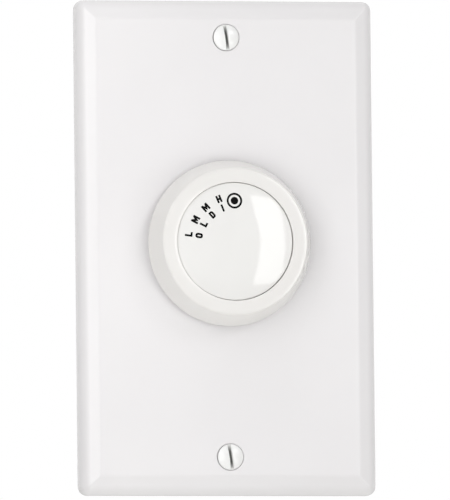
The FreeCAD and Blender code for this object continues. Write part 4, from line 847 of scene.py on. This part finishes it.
# pieces inside, which keep their CAD form, get the finish of the real material
cadFinish = {
    "knob_grip_spring": springSteel, "shaft": satinBrass, "retaining_ring": springSteel,
    "bushing": satinBrass, "bushing_nut": zincSteel, "lock_washer": zincSteel, "front_cover": coverPhenolic,
    "detent_wheel": zincSteel, "detent_spring": springSteel, "contact_rotor": rotorNylon,
    "rotor_contact": satinBrass, "fixed_contacts": satinBrass, "contact_board": boardLaminate,
    "capacitor_large": capacitorBox, "capacitor_small": capacitorBox, "bleed_resistors": resistorLacquer,
}
for nodeName, finish in cadFinish.items():
    for slot in nodes[nodeName].material_slots:
        slot.material = finish
print("CAD pieces finished")

# studio, in metres: a pale floor well below the part, which hangs as if on a wall
studio = {
    "floor": -0.35, "floorHalf": 3.0,
    # floor paint: matt white with the faint grain of the roller
    "floorPaint": {
        "light": "#F6F6F4", "shade": "#F2F2F0", "flowMm": 400, "skinMm": 3.0, "rough": 0.7,
        "roughSpread": 0.05, "peel": 0.05, "peelMm": 0.05,
    },
    # camera: yaw and pitch in degrees, roll in radians, and what it aims at in millimetres from the middle
    "yaw": 12.0, "pitch": 3.8, "roll": -0.0105, "distance": 4.5, "lens": 1405.0, "clipEnd": 50.0,
    "aimRight": 0.36, "aimUp": -0.307,
    "skyUp": 1.45, "skyBack": 0.8, "skyFrom": 0.2, "skyPower": 2.0,
    # name, degrees to the right, degrees up, distance, width, height, brightness where 1 is white
    "lamps": (
        ("leftHighBox", -38.0, 22.0, 0.27, 0.13, 0.2, 1.85),
        ("leftSideBox", -44.0, 5.0, 0.28, 0.12, 0.25, 0.6),
        ("leftLowBox", -30.0, -15.0, 0.27, 0.12, 0.15, 1.78),
        ("rightStrip", 22.2, 4.2, 1.0, 0.178, 0.456, 3.7),
        ("rightHighBox", 38.0, 27.0, 1.0, 0.3, 0.25, 4.8),
        ("rightLowBox", 38.0, -20.0, 1.0, 0.3, 0.25, 5.2),
    ),
}


def makeStudio():
    bm = bmesh.new()
    bmesh.ops.create_grid(bm, x_segments=2, y_segments=2, size=studio["floorHalf"])
    bm.transform(Matrix.Translation((0, 0, studio["floor"])))
    floor = makeObject("studioFloor", bm)
    floor.data.materials.append(mouldedPlastic("paintedStudioFloor", studio["floorPaint"]))

    for name, across, up, distance, wide, tall, glow in studio["lamps"]:
        lamp = bpy.data.lights.new(name, "AREA")
        lamp.shape = "RECTANGLE"
        lamp.size = wide
        lamp.size_y = tall
        lamp.energy = glow * math.pi * wide * tall
        across, up = math.radians(across), math.radians(up)
        way = Vector((math.sin(across) * math.cos(up), -math.cos(across) * math.cos(up), math.sin(up)))
        obj = bpy.data.objects.new(name, lamp)
        obj.location = way * distance
        obj.rotation_mode = "QUATERNION"
        obj.rotation_quaternion = way.to_track_quat("Z", "Y")
        obj.visible_camera = False
        scene.collection.objects.link(obj)

    # the world lights from above and from behind, and is plain white to the camera and in reflections
    world = bpy.data.worlds.new("studioWorld")
    scene.world = world
    world.use_nodes = True
    tree = world.node_tree
    tree.nodes.clear()
    way = addNode(tree, "ShaderNodeSeparateXYZ", links={
        "Vector": addNode(tree, "ShaderNodeTexCoord").outputs["Generated"]})
    behind = addNode(tree, "ShaderNodeMapRange", links={"Value": way.outputs["Y"]}, values={
        "From Min": studio["skyFrom"], "To Max": studio["skyBack"]})
    upward = addNode(tree, "ShaderNodeMapRange", links={"Value": way.outputs["Z"]}, values={
        "From Min": studio["skyFrom"]})
    upward = addNode(tree, "ShaderNodeMath", {"operation": "POWER"}, {1: studio["skyPower"]},
                     {0: upward.outputs["Result"]})
    level = addNode(tree, "ShaderNodeMix", {"data_type": "FLOAT"}, {3: studio["skyUp"]},
                    {0: upward.outputs[0], 2: behind.outputs["Result"]})
    path = addNode(tree, "ShaderNodeLightPath")
    seen = addNode(tree, "ShaderNodeMath", {"operation": "MAXIMUM"}, links={
        0: path.outputs["Is Camera Ray"], 1: path.outputs["Is Transmission Ray"]})
    seen = addNode(tree, "ShaderNodeMath", {"operation": "MAXIMUM"}, links={
        0: seen.outputs[0], 1: path.outputs["Is Glossy Ray"]})
    strength = addNode(tree, "ShaderNodeMix", {"data_type": "FLOAT"}, {3: 1.0},
                       {0: seen.outputs[0], 2: level.outputs[0]})
    backdrop = addNode(tree, "ShaderNodeBackground", values={"Color": (1, 1, 1, 1)},
                       links={"Strength": strength.outputs[0]})
    addNode(tree, "ShaderNodeOutputWorld", links={"Surface": backdrop.outputs["Background"]})

    yaw, pitch = math.radians(studio["yaw"]), math.radians(studio["pitch"])
    ahead = Vector((math.sin(yaw) * math.cos(pitch), math.cos(yaw) * math.cos(pitch), math.sin(pitch)))
    right = Vector((math.cos(yaw), -math.sin(yaw), 0))
    above = right.cross(ahead)
    aim = (right * studio["aimRight"] + above * studio["aimUp"]) * mm
    camera = bpy.data.objects.new("camera", bpy.data.cameras.new("camera"))
    camera.data.lens = studio["lens"]
    camera.data.clip_end = studio["clipEnd"]
    camera.location = aim - ahead * studio["distance"]
    camera.rotation_mode = "QUATERNION"
    camera.rotation_quaternion = ahead.to_track_quat("-Z", "Y") @ Quaternion((0, 0, 1), studio["roll"])
    scene.collection.objects.link(camera)
    scene.camera = camera


makeStudio()
print("studio made")
